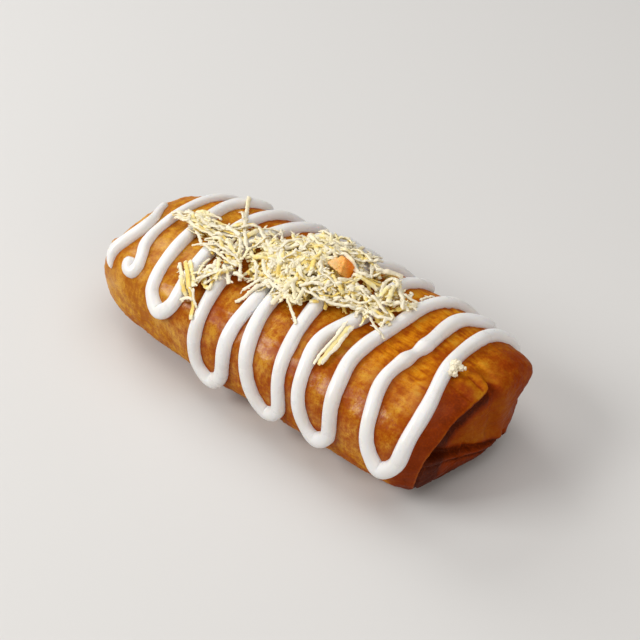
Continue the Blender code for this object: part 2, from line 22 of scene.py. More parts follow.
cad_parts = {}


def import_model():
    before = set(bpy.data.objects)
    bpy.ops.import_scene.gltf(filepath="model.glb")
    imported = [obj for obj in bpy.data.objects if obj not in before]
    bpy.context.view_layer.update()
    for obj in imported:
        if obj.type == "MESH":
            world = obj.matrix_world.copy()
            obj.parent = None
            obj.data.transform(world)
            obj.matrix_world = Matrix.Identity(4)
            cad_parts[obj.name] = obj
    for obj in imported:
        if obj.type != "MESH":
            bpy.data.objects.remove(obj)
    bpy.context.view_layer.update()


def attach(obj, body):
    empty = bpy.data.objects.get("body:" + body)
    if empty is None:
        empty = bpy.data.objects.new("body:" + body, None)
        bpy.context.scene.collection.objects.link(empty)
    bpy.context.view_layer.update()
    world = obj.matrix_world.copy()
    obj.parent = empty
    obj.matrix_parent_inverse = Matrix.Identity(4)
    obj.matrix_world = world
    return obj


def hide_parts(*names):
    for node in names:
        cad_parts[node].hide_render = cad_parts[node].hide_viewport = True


MM = 0.001
CENTRING = np.array((-1.04, 0.47, 0.0))
CURVE_STEPS = 24
LOG = logging.getLogger("chimichanga")
Socket = bpy.types.NodeSocket
Material = bpy.types.Material


class Node(Enum):
    """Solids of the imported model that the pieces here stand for."""

    ROLL = "roll"
    HEAP = "grated_cheese"
    TUFT = "cheese_tuft"
    STRIP = "cheese_strip"
    FLAKE = "crisp_flake"


class Slot(Enum):
    """Names of the material slots."""

    TORTILLA = "fried_tortilla"
    CHEESE = "grated_cheese"
    FLAKE = "crisp_flake"


def rise(value: ArrayLike, low: ArrayLike, high: ArrayLike) -> np.ndarray:
    """Smooth step from 0 at low to 1 at high, for arrays; low may lie above high."""
    part = np.clip((np.asarray(value, dtype=float) - low) / (high - low), 0.0, 1.0)
    return part * part * (3.0 - 2.0 * part)


def hump(value: ArrayLike, middle: float, width: float) -> np.ndarray:
    """Bell curve of height 1 around a middle value."""
    return np.exp(-(((np.asarray(value, dtype=float) - middle) / width) ** 2))


def through(places: np.ndarray, step: float) -> np.ndarray:
    """Even steps along a smooth curve through the given places.

    Args:
        places: One place per row.
        step: Wanted length of a step.

    Returns:
        The places along the curve, the first and the last one included.
    """
    places = np.asarray(places, dtype=float)
    gaps = np.sqrt(np.linalg.norm(np.diff(places, axis=0), axis=1))[:, None]
    slopes = np.diff(places, axis=0) / gaps
    middle = (slopes[:-1] * gaps[1:] + slopes[1:] * gaps[:-1]) / (gaps[1:] + gaps[:-1])
    bends = np.vstack((slopes[:1], middle, slopes[-1:]))
    part = np.linspace(0.0, 1.0, CURVE_STEPS, endpoint=False)[:, None]
    dense = []
    for index, gap in enumerate(gaps[:, 0]):
        start, end = places[index], places[index + 1]
        leave, reach = bends[index] * gap, bends[index + 1] * gap
        dense.append(start + leave * part + (3.0 * (end - start) - 2.0 * leave - reach) * part ** 2
                     + (2.0 * (start - end) + leave + reach) * part ** 3)
    dense = np.vstack(dense + [places[-1:]])
    lengths = np.concatenate(((0.0,), np.cumsum(np.linalg.norm(np.diff(dense, axis=0), axis=1))))
    goals = np.linspace(0.0, lengths[-1], max(int(round(lengths[-1] / step)), 2) + 1)
    return np.stack([np.interp(goals, lengths, dense[:, axis]) for axis in range(dense.shape[1])], axis=1)


def line_distance(y: np.ndarray, z: np.ndarray, line: tuple) -> np.ndarray:
    """Signed distance from a line of places in the end's plane.

    Args:
        y: Places across the roll.
        z: Heights.
        line: (y, z) places in order of y.

    Returns:
        Distance, positive above the line.
    """
    best = np.full(np.shape(y), np.inf)
    for (y0, z0), (y1, z1) in zip(line, line[1:]):
        run, climb = y1 - y0, z1 - z0
        part = np.clip(((y - y0) * run + (z - z0) * climb) / (run * run + climb * climb), 0.0, 1.0)
        best = np.minimum(best, np.hypot(y - y0 - part * run, z - z0 - part * climb))
    ys, zs = np.array(line).T
    return np.where(z > np.interp(y, ys, zs), best, -best)


@dataclass(frozen=True)
class RollForm:
    """Skin of the roll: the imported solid's form with finer folds and puffs."""

    half_length: float = 81.0
    half_width: float = 35.8
    half_height: float = 21.5
    section_power: float = 2.8
    rest_depth: float = 1.2
    left_power: float = 5.0
    right_power: float = 8.0
    left_taper: float = 0.15
    right_taper: float = 0.07
    bow: float = -3.5
    left_skew: float = -0.04
    right_skew: float = 0.07
    right_lean: float = 0.17
    wave: float = 0.45
    steps: int = 1440
    table: dict = field(default_factory=dict)

    @property
    def centre_height(self) -> float:
        """Height of the section's middle over the ground."""
        return self.half_height - self.rest_depth

    def section(self) -> tuple[np.ndarray, np.ndarray, np.ndarray]:
        """Form of one full section, worked out once.

        Returns:
            Reach, y and z of places round it, from under the roll and back.
        """
        if not self.table:
            turn = np.radians(-90.0 - 360.0 * np.arange(self.steps + 1) / self.steps)
            power = 2.0 / self.section_power
            y = self.half_width * np.sign(np.cos(turn)) * np.abs(np.cos(turn)) ** power
            z = self.half_height * np.sign(np.sin(turn)) * np.abs(np.sin(turn)) ** power
            steps = np.hypot(np.diff(y), np.diff(z))
            reach = np.concatenate(((0.0,), np.cumsum(steps)))
            self.table["rows"] = (reach - reach[self.steps // 2], y, z)
        return self.table["rows"]

    @property
    def half_girth(self) -> float:
        """Reach from the ridge to the line under the roll."""
        return float(self.section()[0][-1])

    def share(self, x: np.ndarray) -> np.ndarray:
        """Size of the section at x, as a share of the full one.

        Args:
            x: Places along the roll.

        Returns:
            One size for each place.
        """
        along = np.clip(np.abs(x) / self.half_length, 0.0, 1.0)
        power = np.where(np.asarray(x) < 0.0, self.left_power, self.right_power)
        return (1.0 - along ** power) ** (1.0 / power)

    def cap_x(self, share: np.ndarray, power: float) -> np.ndarray:
        """Distance along the roll at which an end has shrunk to a share of the full section."""
        return self.half_length * (1.0 - np.clip(share, 0.0, 1.0) ** power) ** (1.0 / power)

    def skin(self, x: np.ndarray, reach: np.ndarray, share: np.ndarray | None = None) -> np.ndarray:
        """Full form of the roll, without the folds of its ends.

        Args:
            x: Places along the roll.
            reach: Reaches from the ridge.
            share: Section size where x alone is too coarse.

        Returns:
            Points, one per row.
        """
        x, reach = np.broadcast_arrays(np.asarray(x, dtype=float), np.asarray(reach, dtype=float))
        share = self.share(x) if share is None else share
        along = np.clip(x / self.half_length, -1.0, 1.0)
        right = x > 0.0
        share = share * (1.0 - np.where(right, self.right_taper, self.left_taper) * along ** 2)
        reaches, ys, zs = self.section()
        y, z = np.interp(reach, reaches, ys), np.interp(reach, reaches, zs)
        ripple = np.sin(x / 7.3 + reach / 19.0 + 0.6)
        ripple = ripple + 0.8 * np.sin(x / 13.1 - reach / 9.7 + 2.1)
        ripple = ripple + 0.5 * np.sin(x / 4.9 + reach / 6.8)
        grow = share * (1.0 + self.wave * ripple / 2.3 * share / np.hypot(y, z))
        y, z = y * grow, z * grow + self.centre_height
        push = np.abs(along) ** 3
        skew = np.where(right, self.right_skew, self.left_skew) * y
        lean = np.where(right, self.right_lean * (z - self.half_height), 0.0)
        return np.stack((x + push * (skew + lean), y + self.bow * along ** 2, np.maximum(z, 0.0)), axis=-1)

    def normals(self, x: np.ndarray, reach: np.ndarray) -> np.ndarray:
        """Outward directions of the full form.

        Args:
            x: Places along the roll.
            reach: Reaches from the ridge.

        Returns:
            Directions of length 1, one per row.
        """
        x, reach = np.broadcast_arrays(np.asarray(x, dtype=float), np.asarray(reach, dtype=float))
        step = 0.4
        along = self.skin(x + step, reach) - self.skin(x - step, reach)
        around = self.skin(x, reach - step) - self.skin(x, reach + step)
        out = np.cross(around, along)
        out /= np.linalg.norm(out, axis=-1, keepdims=True)
        point = self.skin(x, reach)
        middle = np.stack((x, np.zeros_like(x), np.full_like(x, self.centre_height)), axis=-1)
        flip = np.sign(np.sum(out * (point - middle), axis=-1, keepdims=True))
        return out * np.where(flip == 0.0, 1.0, flip)

    def place(self, x: np.ndarray, reach: np.ndarray, lift: np.ndarray) -> np.ndarray:
        """Points at a height over the skin."""
        return self.skin(x, reach) + self.normals(x, reach) * np.asarray(lift, dtype=float)[..., None]


FORM = RollForm()


def linked(name: str, data: bpy.types.ID) -> bpy.types.Object:
    """New object in the scene.

    Args:
        name: Name of the object.
        data: Its mesh, light or camera.

    Returns:
        The object.
    """
    made = bpy.data.objects.new(name, data)
    bpy.context.scene.collection.objects.link(made)
    return made


def mesh_object(name: str, points: np.ndarray, faces: list) -> bpy.types.Object:
    """New mesh object from points in millimetres.

    Args:
        name: Name of the object.
        points: One point per row.
        faces: Corner indices of each face, outward order.

    Returns:
        The object, smooth shaded and linked into the scene.
    """
    mesh = bpy.data.meshes.new(name)
    mesh.from_pydata(((points + CENTRING) * MM).tolist(), [], faces)
    mesh.polygons.foreach_set("use_smooth", [True] * len(mesh.polygons))
    mesh.update()
    return linked(name, mesh)


def closed_faces(rings: int, spokes: int) -> list[list[int]]:
    """Faces of a closed skin made of a tip, rings of points and another tip.

    Args:
        rings: Number of rings.
        spokes: Points in each ring.

    Returns:
        Corner indices of each face.
    """
    step = np.arange(spokes)
    after = (step + 1) % spokes
    last = 1 + (rings - 1) * spokes
    faces = []
    for low in range(1, last, spokes):
        high = low + spokes
        faces += np.stack((low + step, high + step, high + after, low + after), axis=1).tolist()
    faces += np.stack((0 * step, 1 + step, 1 + after), axis=1).tolist()
    return faces + np.stack((0 * step + last + spokes, last + after, last + step), axis=1).tolist()


def ball(fineness: int) -> tuple[np.ndarray, list[list[int]]]:
    """Ball of even triangles with a radius of 1.

    Args:
        fineness: How often its faces are divided.

    Returns:
        Its points and its faces.
    """
    shape = bmesh.new()
    bmesh.ops.create_icosphere(shape, subdivisions=fineness, radius=1.0)
    points = np.array([vert.co[:] for vert in shape.verts])
    faces = [[vert.index for vert in face.verts] for face in shape.faces]
    shape.free()
    return points, faces


def paint(made: bpy.types.Object, name: str, values: np.ndarray) -> None:
    """Store one number per point on a mesh, for its material."""
    layer = made.data.attributes.new(name, "FLOAT", "POINT")
    layer.data.foreach_set("value", np.ascontiguousarray(values, dtype=np.float32).ravel())


def dress(made: bpy.types.Object, material: Material, node: Node) -> bpy.types.Object:
    """Give a finished piece its material, hang it on the root body and hide the solid that it stands for.

    Args:
        made: The piece.
        material: Its surface.
        node: The solid that it replaces.

    Returns:
        The piece.
    """
    made.data.materials.clear()
    made.data.materials.append(material)
    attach(made, "root")
    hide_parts(node.value)
    LOG.info("%s: %d faces, stands for %s", made.name, len(made.data.polygons), node.value)
    return made


class NodeChain:
    """Short way to place and link nodes of one tree."""

    def __init__(self, tree: bpy.types.NodeTree) -> None:
        """Keep the tree."""
        self.tree = tree

    def feed(self, node: bpy.types.Node, links: dict) -> None:
        """Fill inputs of a node.

        Args:
            node: The node.
            links: Input name or index to a value, or to an output socket.
        """
        for name, value in links.items():
            socket = node.inputs[name]
            if isinstance(value, Socket):
                self.tree.links.new(value, socket)
            else:
                socket.default_value = value

    def add(self, kind: str, links: dict | None = None, **settings: object) -> bpy.types.Node:
        """Add a node.

        Args:
            kind: Node type.
            links: Input name or index to a value, or to an output socket.
            settings: Properties of the node.

        Returns:
            The node.
        """
        node = self.tree.nodes.new(kind)
        for name, value in settings.items():
            setattr(node, name, value)
        self.feed(node, links or {})
        return node

    def math(self, operation: str, first: object, second: object = 0.0, third: object = 0.0) -> Socket:
        """One sum on up to three values or sockets."""
        return self.add("ShaderNodeMath", {0: first, 1: second, 2: third}, operation=operation).outputs[0]

    def times(self, first: object, second: object) -> Socket:
        """Product of two values or sockets."""
        return self.math("MULTIPLY", first, second)


class Surface(NodeChain):
    """New material: its nodes, its Principled shader and its share of the common grain."""

    def __init__(self, name: str, speckle: bpy.types.NodeTree | None = None, **scales: float) -> None:
        """Make the material.

        Args:
            name: Name of the material.
            speckle: Group of the common grain, if the material has it.
            scales: Values of the group's inputs, with _ for a blank.
        """
        self.material = bpy.data.materials.new(name)
        self.material.use_nodes = True
        super().__init__(self.material.node_tree)
        self.shader = self.tree.nodes["Principled BSDF"]
        if speckle:
            self.place = self.add("ShaderNodeTexCoord").outputs["Object"]
            links = {label.replace("_", " "): value for label, value in scales.items()}
            node = self.add("ShaderNodeGroup", {"Vector": self.place} | links, node_tree=speckle)
            self.fine, self.grain, self.cloud = [node.outputs[label] for label in ("Fine", "Grain", "Cloud")]

    def attribute(self, name: str) -> Socket:
        """A number that is painted on the piece."""
        return self.add("ShaderNodeAttribute", attribute_name=name).outputs["Fac"]

    def noise(self, place: Socket, scale: float, detail: float) -> Socket:
        """Cloudy mask over given places."""
        links = {"Vector": place, "Scale": scale, "Detail": detail}
        return self.add("ShaderNodeTexNoise", links).outputs["Fac"]

    def range(self, value: Socket, low: float, high: float, to_low: float = 0.0,
              to_high: float = 1.0) -> Socket:
        """Map a value from one range to another, held at both ends."""
        limits = {0: value, 1: low, 2: high, 3: to_low, 4: to_high}
        return self.add("ShaderNodeMapRange", limits, interpolation_type="SMOOTHSTEP").outputs[0]

    def blend(self, share: Socket, first: object, second: object) -> Socket:
        """Mix two colours."""
        return self.add("ShaderNodeMix", {0: share, 6: first, 7: second}, data_type="RGBA").outputs[2]

    def tint(self, first: object, second: object, mask: Socket, *limits: float) -> Socket:
        """First colour, turning to the second over a range of a mask."""
        return self.blend(self.range(mask, *limits), first, second)

    def fade(self, mask: Socket, share: Socket) -> Socket:
        """The mask, drawn towards its middle value."""
        return self.math("MULTIPLY_ADD", share, self.math("SUBTRACT", 0.5, mask), mask)

    def weigh(self, *layers: tuple) -> Socket:
        """Weighted sum of several masks.

        Args:
            layers: Pairs of a mask and its weight.

        Returns:
            The sum.
        """
        total = 0.0
        for mask, weight in layers:
            total = self.math("MULTIPLY_ADD", mask, weight, total)
        return total

    def bump(self, height: Socket, strength: float, distance: float) -> Socket:
        """Normals of a fine relief."""
        links = {"Strength": strength, "Distance": distance, "Height": height}
        return self.add("ShaderNodeBump", links).outputs[0]

    def shade(self, inputs: dict, subsurface: tuple | None = None) -> Material:
        """Fill the inputs of the shader.

        Args:
            inputs: Input name to a value, or to an output socket.
            subsurface: Weight, radius and scale of the light that passes under the surface.

        Returns:
            The material.
        """
        self.feed(self.shader, inputs)
        if subsurface:
            labels = ("Subsurface Weight", "Subsurface Radius", "Subsurface Scale")
            self.feed(self.shader, dict(zip(labels, subsurface)))
        return self.material


def speckle_group() -> bpy.types.NodeTree:
    """Shared effect: two sizes of fine grain and a broad cloud, from object coordinates.

    Returns:
        The shader node group with outputs Fine, Grain and Cloud.
    """
    group = bpy.data.node_groups.new("food_speckle", "ShaderNodeTree")
    sockets = group.interface
    sockets.new_socket("Vector", in_out="INPUT", socket_type="NodeSocketVector")
    for label, value in (("Fine Scale", 1400.0), ("Grain Scale", 420.0), ("Cloud Scale", 70.0)):
        sockets.new_socket(label, in_out="INPUT", socket_type="NodeSocketFloat").default_value = value
    for label in ("Fine", "Grain", "Cloud"):
        sockets.new_socket(label, in_out="OUTPUT", socket_type="NodeSocketFloat")
    chain = NodeChain(group)
    given = chain.add("NodeGroupInput").outputs
    result = chain.add("NodeGroupOutput")
    for label, detail in (("Fine", 2.0), ("Grain", 3.0), ("Cloud", 4.0)):
        links = {"Vector": given["Vector"], "Scale": given[label + " Scale"], "Detail": detail}
        chain.feed(result, {label: chain.add("ShaderNodeTexNoise", links).outputs["Fac"]})
    return group


@dataclass(frozen=True)
class TortillaFinish:
    """Fried flour tortilla: mottled golden brown, blistered, with a thin coat of oil."""

    golden: tuple = (0.49, 0.165, 0.004, 1.0)
    light: tuple = (0.73, 0.42, 0.035, 1.0)
    yellow: tuple = (0.66, 0.235, 0.004, 1.0)
    amber: tuple = (0.31, 0.052, 0.0006, 1.0)
    brown: tuple = (0.26, 0.034, 0.001, 1.0)
    dark: tuple = (0.065, 0.008, 0.0005, 1.0)
    roughness: float = 0.5
    specular: float = 0.04
    coat: float = 0.44
    coat_roughness: float = 0.23

    def build(self, speckle: bpy.types.NodeTree) -> Material:
        """Make the material from its layers of mottling, of brown tones with painted shade and highlight, and
        of grain.

        Args:
            speckle: Group of the common grain.

        Returns:
            The material.
        """
        scales = {"Fine_Scale": 1500.0, "Grain_Scale": 420.0, "Cloud_Scale": 105.0}
        made = Surface("fried_tortilla_skin", speckle, **scales)
        calm = made.attribute("calm")
        streak = made.fade(self.stretched(made, (1.0, 0.3, 1.0), 0.8), calm)
        crinkle = made.fade(self.stretched(made, (0.18, 1.0, 1.0), 0.7), calm)
        mottle = made.weigh((made.cloud, 0.36), (made.grain, 0.2), (streak, 0.18), (made.fine, 0.26))
        mottle = made.fade(mottle, made.times(calm, 0.7))
        crease = made.weigh((made.cloud, 0.38), (made.grain, 0.22), (crinkle, 0.3), (made.fine, 0.1))
        height = made.weigh((made.fine, 0.6), (made.grain, 1.0), (streak, 0.5), (crinkle, 0.4))
        patchy = made.range(made.cloud, 0.42, 0.6, 0.3 * self.coat, 1.15 * self.coat)
        return made.shade({
            "Base Color": self.colour(made, mottle, crease, calm),
            "Roughness": made.range(made.grain, 0.3, 0.7, self.roughness - 0.07, self.roughness + 0.12),
            "Normal": made.bump(height, 0.5, 0.0002),
            "Specular IOR Level": self.specular,
            "Coat Weight": made.times(made.attribute("oiled"), patchy),
            "Coat Roughness": self.coat_roughness,
            "Coat Normal": made.bump(made.noise(made.place, 700.0, 5.0), 0.5, 0.00026),
        })

    @staticmethod
    def stretched(made: Surface, scale: tuple, fineness: float) -> Socket:
        """Noise that is drawn out along or across the flat skin.

        Args:
            made: The material.
            scale: Scale in each direction of the skin.
            fineness: Scale of the noise.

        Returns:
            The mask.
        """
        skin = made.add("ShaderNodeUVMap", uv_map="skin").outputs[0]
        place = made.add("ShaderNodeMapping", {"Vector": skin, "Scale": scale}).outputs[0]
        return made.noise(place, fineness, 4.0)

    def colour(self, made: Surface, mottle: Socket, crease: Socket, calm: Socket) -> Socket:
        """Lay the colours over each other.

        Args:
            made: The material.
            mottle: Mask of the blotches.
            crease: Mask of the creased middle.
            calm: Where the blotches are weak.

        Returns:
            The colour.
        """
        base = made.tint(self.amber, self.golden, mottle, 0.40, 0.57, 0.1, 1.0)
        base = made.tint(base, self.light, mottle, 0.48, 0.64, 0.0, 0.65)
        warm = made.tint(self.amber, self.yellow, crease, 0.39, 0.54, 0.1, 1.0)
        warm = made.tint(warm, self.light, crease, 0.5, 0.64, 0.0, 0.75)
        base = made.blend(made.attribute("golden"), base, warm)
        sandy = made.times(made.attribute("sandy"), made.range(mottle, 0.4, 0.6, 0.15, 0.5))
        base = made.blend(sandy, base, self.light)
        # This number also carries painted shade in the folded end's recess and creases and a painted
        # highlight along the wrap's edge; it turns the skin brown, then dark.
        burnt_and_shaded = made.times(made.attribute("browned_and_shaded"), made.range(mottle, 0.38, 0.62, 1.35, 0.6))
        base = made.tint(base, self.brown, burnt_and_shaded, 0.0, 1.0)
        base = made.tint(base, self.dark, burnt_and_shaded, 0.7, 1.7)
        # Painted contact shade beside the cream strands.
        base = made.blend(made.times(made.attribute("cream_contact_shade"), 0.85), base, self.brown)
        freckle = made.range(made.fine, 0.54, 0.68, 0.0, 0.45)
        quiet = made.math("MULTIPLY_ADD", calm, -0.5, 1.0)
        return made.blend(made.times(freckle, quiet), base, self.amber)


@dataclass(frozen=True)
class CreamFinish:
    """Thick white cream with a satin skin."""

    white: tuple = (0.83, 0.835, 0.835, 1.0)
    shaded: tuple = (0.78, 0.765, 0.745, 1.0)
    roughness: float = 0.3
    coat: float = 0.15
    coat_roughness: float = 0.2
    subsurface: tuple = (0.3, (1.0, 0.8, 0.55), 0.002)

    def build(self, speckle: bpy.types.NodeTree) -> Material:
        """Make the material, a little warmer in broad clouds.

        Args:
            speckle: Group of the common grain.

        Returns:
            The material.
        """
        made = Surface("piped_cream", speckle, Grain_Scale=250.0)
        return made.shade({
            "Base Color": made.tint(self.white, self.shaded, made.cloud, 0.35, 0.7),
            "Roughness": made.range(made.grain, 0.3, 0.7, self.roughness - 0.05, self.roughness + 0.1),
            "Normal": made.bump(made.grain, 0.12, 0.0002),
            "Coat Weight": self.coat,
            "Coat Roughness": self.coat_roughness,
        }, self.subsurface)


@dataclass(frozen=True)
class CheeseFinish:
    """Moist grated cheese: pale torn edges that are partly a painted highlight, and painted yellow shade
    where it lies deep.
    """

    name: str = "grated_cheese_shreds"
    pale: tuple = (0.865, 0.795, 0.61, 1.0)
    body: tuple = (0.895, 0.77, 0.35, 1.0)
    # Yellow of low tones: partly the cheese's own tone, partly painted shade deep in the heap.
    deep: tuple = (0.87, 0.635, 0.115, 1.0)
    roughness: float = 0.42
    subsurface: tuple = (0.25, (1.0, 0.95, 0.8), 0.0004)

    def build(self, speckle: bpy.types.NodeTree) -> Material:
        """Make the material from each shred's tone, which carries painted shade from its depth in the heap,
        and from its edges.

        Args:
            speckle: Group of the common grain.

        Returns:
            The material.
        """
        made = Surface(self.name, speckle)
        tone, across = made.attribute("tone"), made.attribute("across")
        # Low tones, which include painted shade deep in the heap, turn yellow.
        base = made.tint(self.body, self.pale, tone, 0.15, 0.75)
        base = made.tint(base, self.deep, tone, 0.28, 0.0)
        # Paler torn edges, partly a painted highlight, weaker on low tones.
        rim = made.times(made.range(across, 0.55, 0.95), made.range(tone, 0.0, 0.5, 0.3, 0.85))
        base = made.blend(rim, base, self.pale)
        return made.shade({
            "Base Color": made.tint(base, self.body, made.cloud, 0.56, 0.7, 0.0, 0.4),
            "Roughness": self.roughness,
            "Normal": made.bump(made.grain, 0.4, 0.0002),
        }, self.subsurface)


@dataclass(frozen=True)
class FlakeFinish:
    """Crisp fried flake, painted pale on its lit face and deep orange on its shaded face."""

    pale: tuple = (0.76, 0.46, 0.155, 1.0)
    middle: tuple = (0.88, 0.42, 0.08, 1.0)
    orange: tuple = (0.93, 0.26, 0.006, 1.0)
    roughness: float = 0.4
    subsurface: tuple = (0.4, (1.0, 0.5, 0.2), 0.0015)

    def build(self, speckle: bpy.types.NodeTree) -> Material:
        """Make the material.

        Args:
            speckle: Group of the common grain.

        Returns:
            The material.
        """
        made = Surface("crisp_flake_skin", speckle)
        # Painted light and shade: paler towards the lit face, deeper orange towards the shaded face.
        fried = made.math("ADD", made.attribute("fried"), made.range(made.cloud, 0.3, 0.7, -0.15, 0.15))
        base = made.tint(self.pale, self.middle, fried, 0.1, 0.5)
        return made.shade({
            "Base Color": made.tint(base, self.orange, fried, 0.45, 0.85),
            "Roughness": self.roughness,
            "Normal": made.bump(made.grain, 0.5, 0.0003),
        }, self.subsurface)


@dataclass(frozen=True)
class CreamRoute:
    """Where the cream is laid: one long strand to and fro, and a short one at the tucked end."""

    half_width: float = 2.6
    height: float = 3.0
    root: float = 1.4
    spacing: float = 0.8
    leg_reaches: tuple = (-31.0, -20.0, 0.0, 20.0)
    legs: tuple = (
        (-54.6, -59.7, -62.3, -61.0),
        (-44.3, -46.2, -49.6, -50.4),
        (-31.4, -33.3, -36.6, -35.8),
        (-19.3, -21.1, -26.8, -23.0),
        (-4.9, -4.6, -9.5, -11.0),
        (3.2, 0.7, -1.5, -4.0),
        (18.7, 16.4, 13.0, 13.0),
        (27.8, 25.8, 30.0, 28.0),
        (41.6, 39.3, 40.7, 42.0),
        (56.4, 53.2, 54.0, 53.4),
        (71.9, 70.2, 64.5, 63.4),
    )
    near_turns: tuple = (
        (-37.6, -40.6, 5.4), (-12.3, -58.0, 5.4), (15.0, -57.0, 5.6), (37.8, -55.0, 5.4),
        (66.6, -51.0, 5.0),
    )
    far_turns: tuple = (
        (-50.0, 39.5, 5.4), (-25.0, 40.0, 5.4), (1.0, 40.0, 5.0), (25.5, 40.0, 5.2),
        (53.0, 39.5, 5.0),
    )
    tail_end: tuple = ((64.0, 27.0), (65.8, 33.0), (67.2, 38.5), (67.6, 44.0))
    shoulder: float = 5.0
    hook: tuple = (
        (-59.3, -28.0), (-59.3, -30.8), (-58.0, -32.9), (-56.0, -33.0), (-55.0, -30.6), (-56.3, -26.6),
    )
    short_start: tuple = ((-73.4, 10.5), (-71.6, 3.0), (-68.4, -6.5))
    short_end: tuple = ((-67.4, -14.5), (-68.6, -23.0), (-70.6, -29.8), (-70.2, -34.6), (-68.6, -38.0))

    def leg(self, index: int, downward: bool) -> list:
        """One crossing of the roll."""
        places = list(zip(self.legs[index], self.leg_reaches))
        return places[::-1] if downward else places

    def turn(self, turn: tuple) -> list:
        """The round end that joins two legs.

        Args:
            turn: Middle of the turn, as x and reach, and half its width.

        Returns:
            Its three places.
        """
        x, reach, half = turn
        shoulder = reach - math.copysign(self.shoulder, reach)
        return [(x - half, shoulder), (x, reach), (x + half, shoulder)]

    def long_strand(self) -> np.ndarray:
        """Lay the strand that runs to and fro.

        Returns:
            Its places, evenly apart.
        """
        route = list(self.hook) + self.leg(0, False)[1:]
        for pair, far in enumerate(self.far_turns):
            route += self.turn(far) + self.leg(2 * pair + 1, True)
            route += self.turn(self.near_turns[pair]) + self.leg(2 * pair + 2, False)
        return through(np.array(route + list(self.tail_end)), self.spacing)

    def short_strand(self) -> np.ndarray:
        """Places of the short strand at the tucked end, evenly apart."""
        return through(np.array(self.short_start + self.short_end), self.spacing)


ROUTE = CreamRoute()


@dataclass(frozen=True)
class EndFolds:
    """Relief of the open folded end: the wrap's free edge, the inner fold and the lower flap."""

    lip: tuple = (
        (-75.0, 0.93), (-66.0, 0.9), (-61.0, 0.87), (-55.0, 0.84), (-49.0, 0.83), (-41.0, 0.81),
        (-35.0, 0.79), (-30.0, 0.785), (-24.0, 0.81), (-16.0, 0.825), (-8.0, 0.835), (-3.0, 0.845),
        (1.5, 0.85), (4.0, 0.875), (7.5, 0.93),
    )
    pocket_depth: float = 6.4
    edge_radius: float = 0.85
    lip_line: tuple = (
        (-31.2, 15.0), (-31.0, 21.5), (-29.7, 27.0), (-26.9, 29.8), (-23.0, 33.4), (-19.6, 35.4),
        (-15.4, 36.1), (-9.7, 36.8), (-4.4, 37.4), (0.7, 37.9), (6.0, 39.5),
    )
    flap_edge: tuple = (
        (-33.0, 25.0), (-28.8, 24.2), (-24.3, 22.6), (-14.3, 16.8), (-4.6, 12.0), (2.5, 10.0),
        (9.0, 8.4), (16.0, 6.4), (26.0, 5.0),
    )
    second_edge: tuple = (
        (-31.0, 21.6), (-28.4, 20.6), (-20.3, 17.4), (-10.3, 12.0), (-4.4, 9.6), (3.0, 7.4),
    )
    far_edge: tuple = ((1.2, 38.5), (1.8, 36.5), (2.8, 30.0), (3.4, 23.7), (3.6, 12.8), (3.0, 6.0))
    swells: tuple = (
        ((79.5, 25.0, 30.0), 5.5, (1.3, 1.1, 0.2)),
        ((82.0, 21.0, 17.5), 7.5, (-2.2, -1.6, 0.0)),
        ((78.0, 1.5, 4.5), 10.0, (2.4, 0.0, 0.0)),
    )
    dents: tuple = (
        (10.0, 10.6, 1.8, 1.1), (18.0, 6.0, 1.5, 1.6), (7.5, 11.0, -1.1, 2.0), (12.0, 8.6, -0.8, 1.8),
    )

    def lip_share(self, reach: np.ndarray) -> np.ndarray:
        """Share of the section at which the wrap's free edge runs."""
        return np.interp(reach, *np.array(self.lip).T)

    def lip_strength(self, reach: np.ndarray) -> np.ndarray:
        """How far the wrap's edge stands free at a reach, from 0 to 1."""
        return rise(reach, 8.5, 3.5) * rise(reach, -80.0, -66.0)

    def far_side(self, y: np.ndarray, z: np.ndarray) -> np.ndarray:
        """Signed distance beyond the groove beside the far fold, positive on the fold.

        Args:
            y: Places across the roll.
            z: Heights.

        Returns:
            The distances.
        """
        ys, zs = np.array(self.far_edge).T
        order = np.argsort(zs)
        return y - np.interp(z, zs[order], ys[order])

    def depth(self, y: np.ndarray, z: np.ndarray) -> np.ndarray:
        """How far the end's floor lies behind the full form.

        Args:
            y: Places across the roll.
            z: Heights.

        Returns:
            Depths along X, positive inwards.
        """
        under = np.clip(-line_distance(y, z, self.lip_line), 0.0, None)
        fold, over = self.far_side(y, z), line_distance(y, z, self.flap_edge)
        inner = self.pocket_depth * rise(-y, -6.0, 15.0) * (0.4 + 0.6 * rise(over, -1.0, 8.0))
        inner = inner + 2.3 * np.exp(-under / 2.2) * rise(y, 5.5, 1.0)
        inner = inner + 1.3 * hump(fold, -0.8, 1.7) * rise(z, 10.0, 17.0)
        inner = inner - 0.7 * rise(fold, 0.0, 4.0) * rise(fold, 24.0, 10.0)
        inner = inner + 0.45 * np.sin(0.55 * y + 0.35 * z) * rise(-y, -4.0, 6.0)
        inner = inner + 2.2 * np.exp(-np.clip(over, 0.0, None) / 1.5) * rise(y, 16.0, 2.0)
        second = line_distance(y, z, self.second_edge)
        flap = 0.3 + 1.0 * hump(second, 0.0, 0.7) + 0.5 * rise(second, 0.4, -0.8)
        mask = rise(over, 0.9, -0.7)
        depth = inner * (1.0 - mask) + flap * mask
        for across, high, deep, width in self.dents:
            depth = depth + deep * hump(np.hypot(y - across, z - high), 0.0, width)
        return depth

    def swell(self, points: np.ndarray) -> np.ndarray:
        """Push the far corner and the lower flap out and press the side between them in.

        Args:
            points: Points of the roll.

        Returns:
            The moved points.
        """
        moved = points.copy()
        for centre, radius, push in self.swells:
            near = hump(np.linalg.norm(points - np.array(centre), axis=1), 0.0, radius)
            moved += near[:, None] * np.array(push)
        return moved


FOLDS = EndFolds()


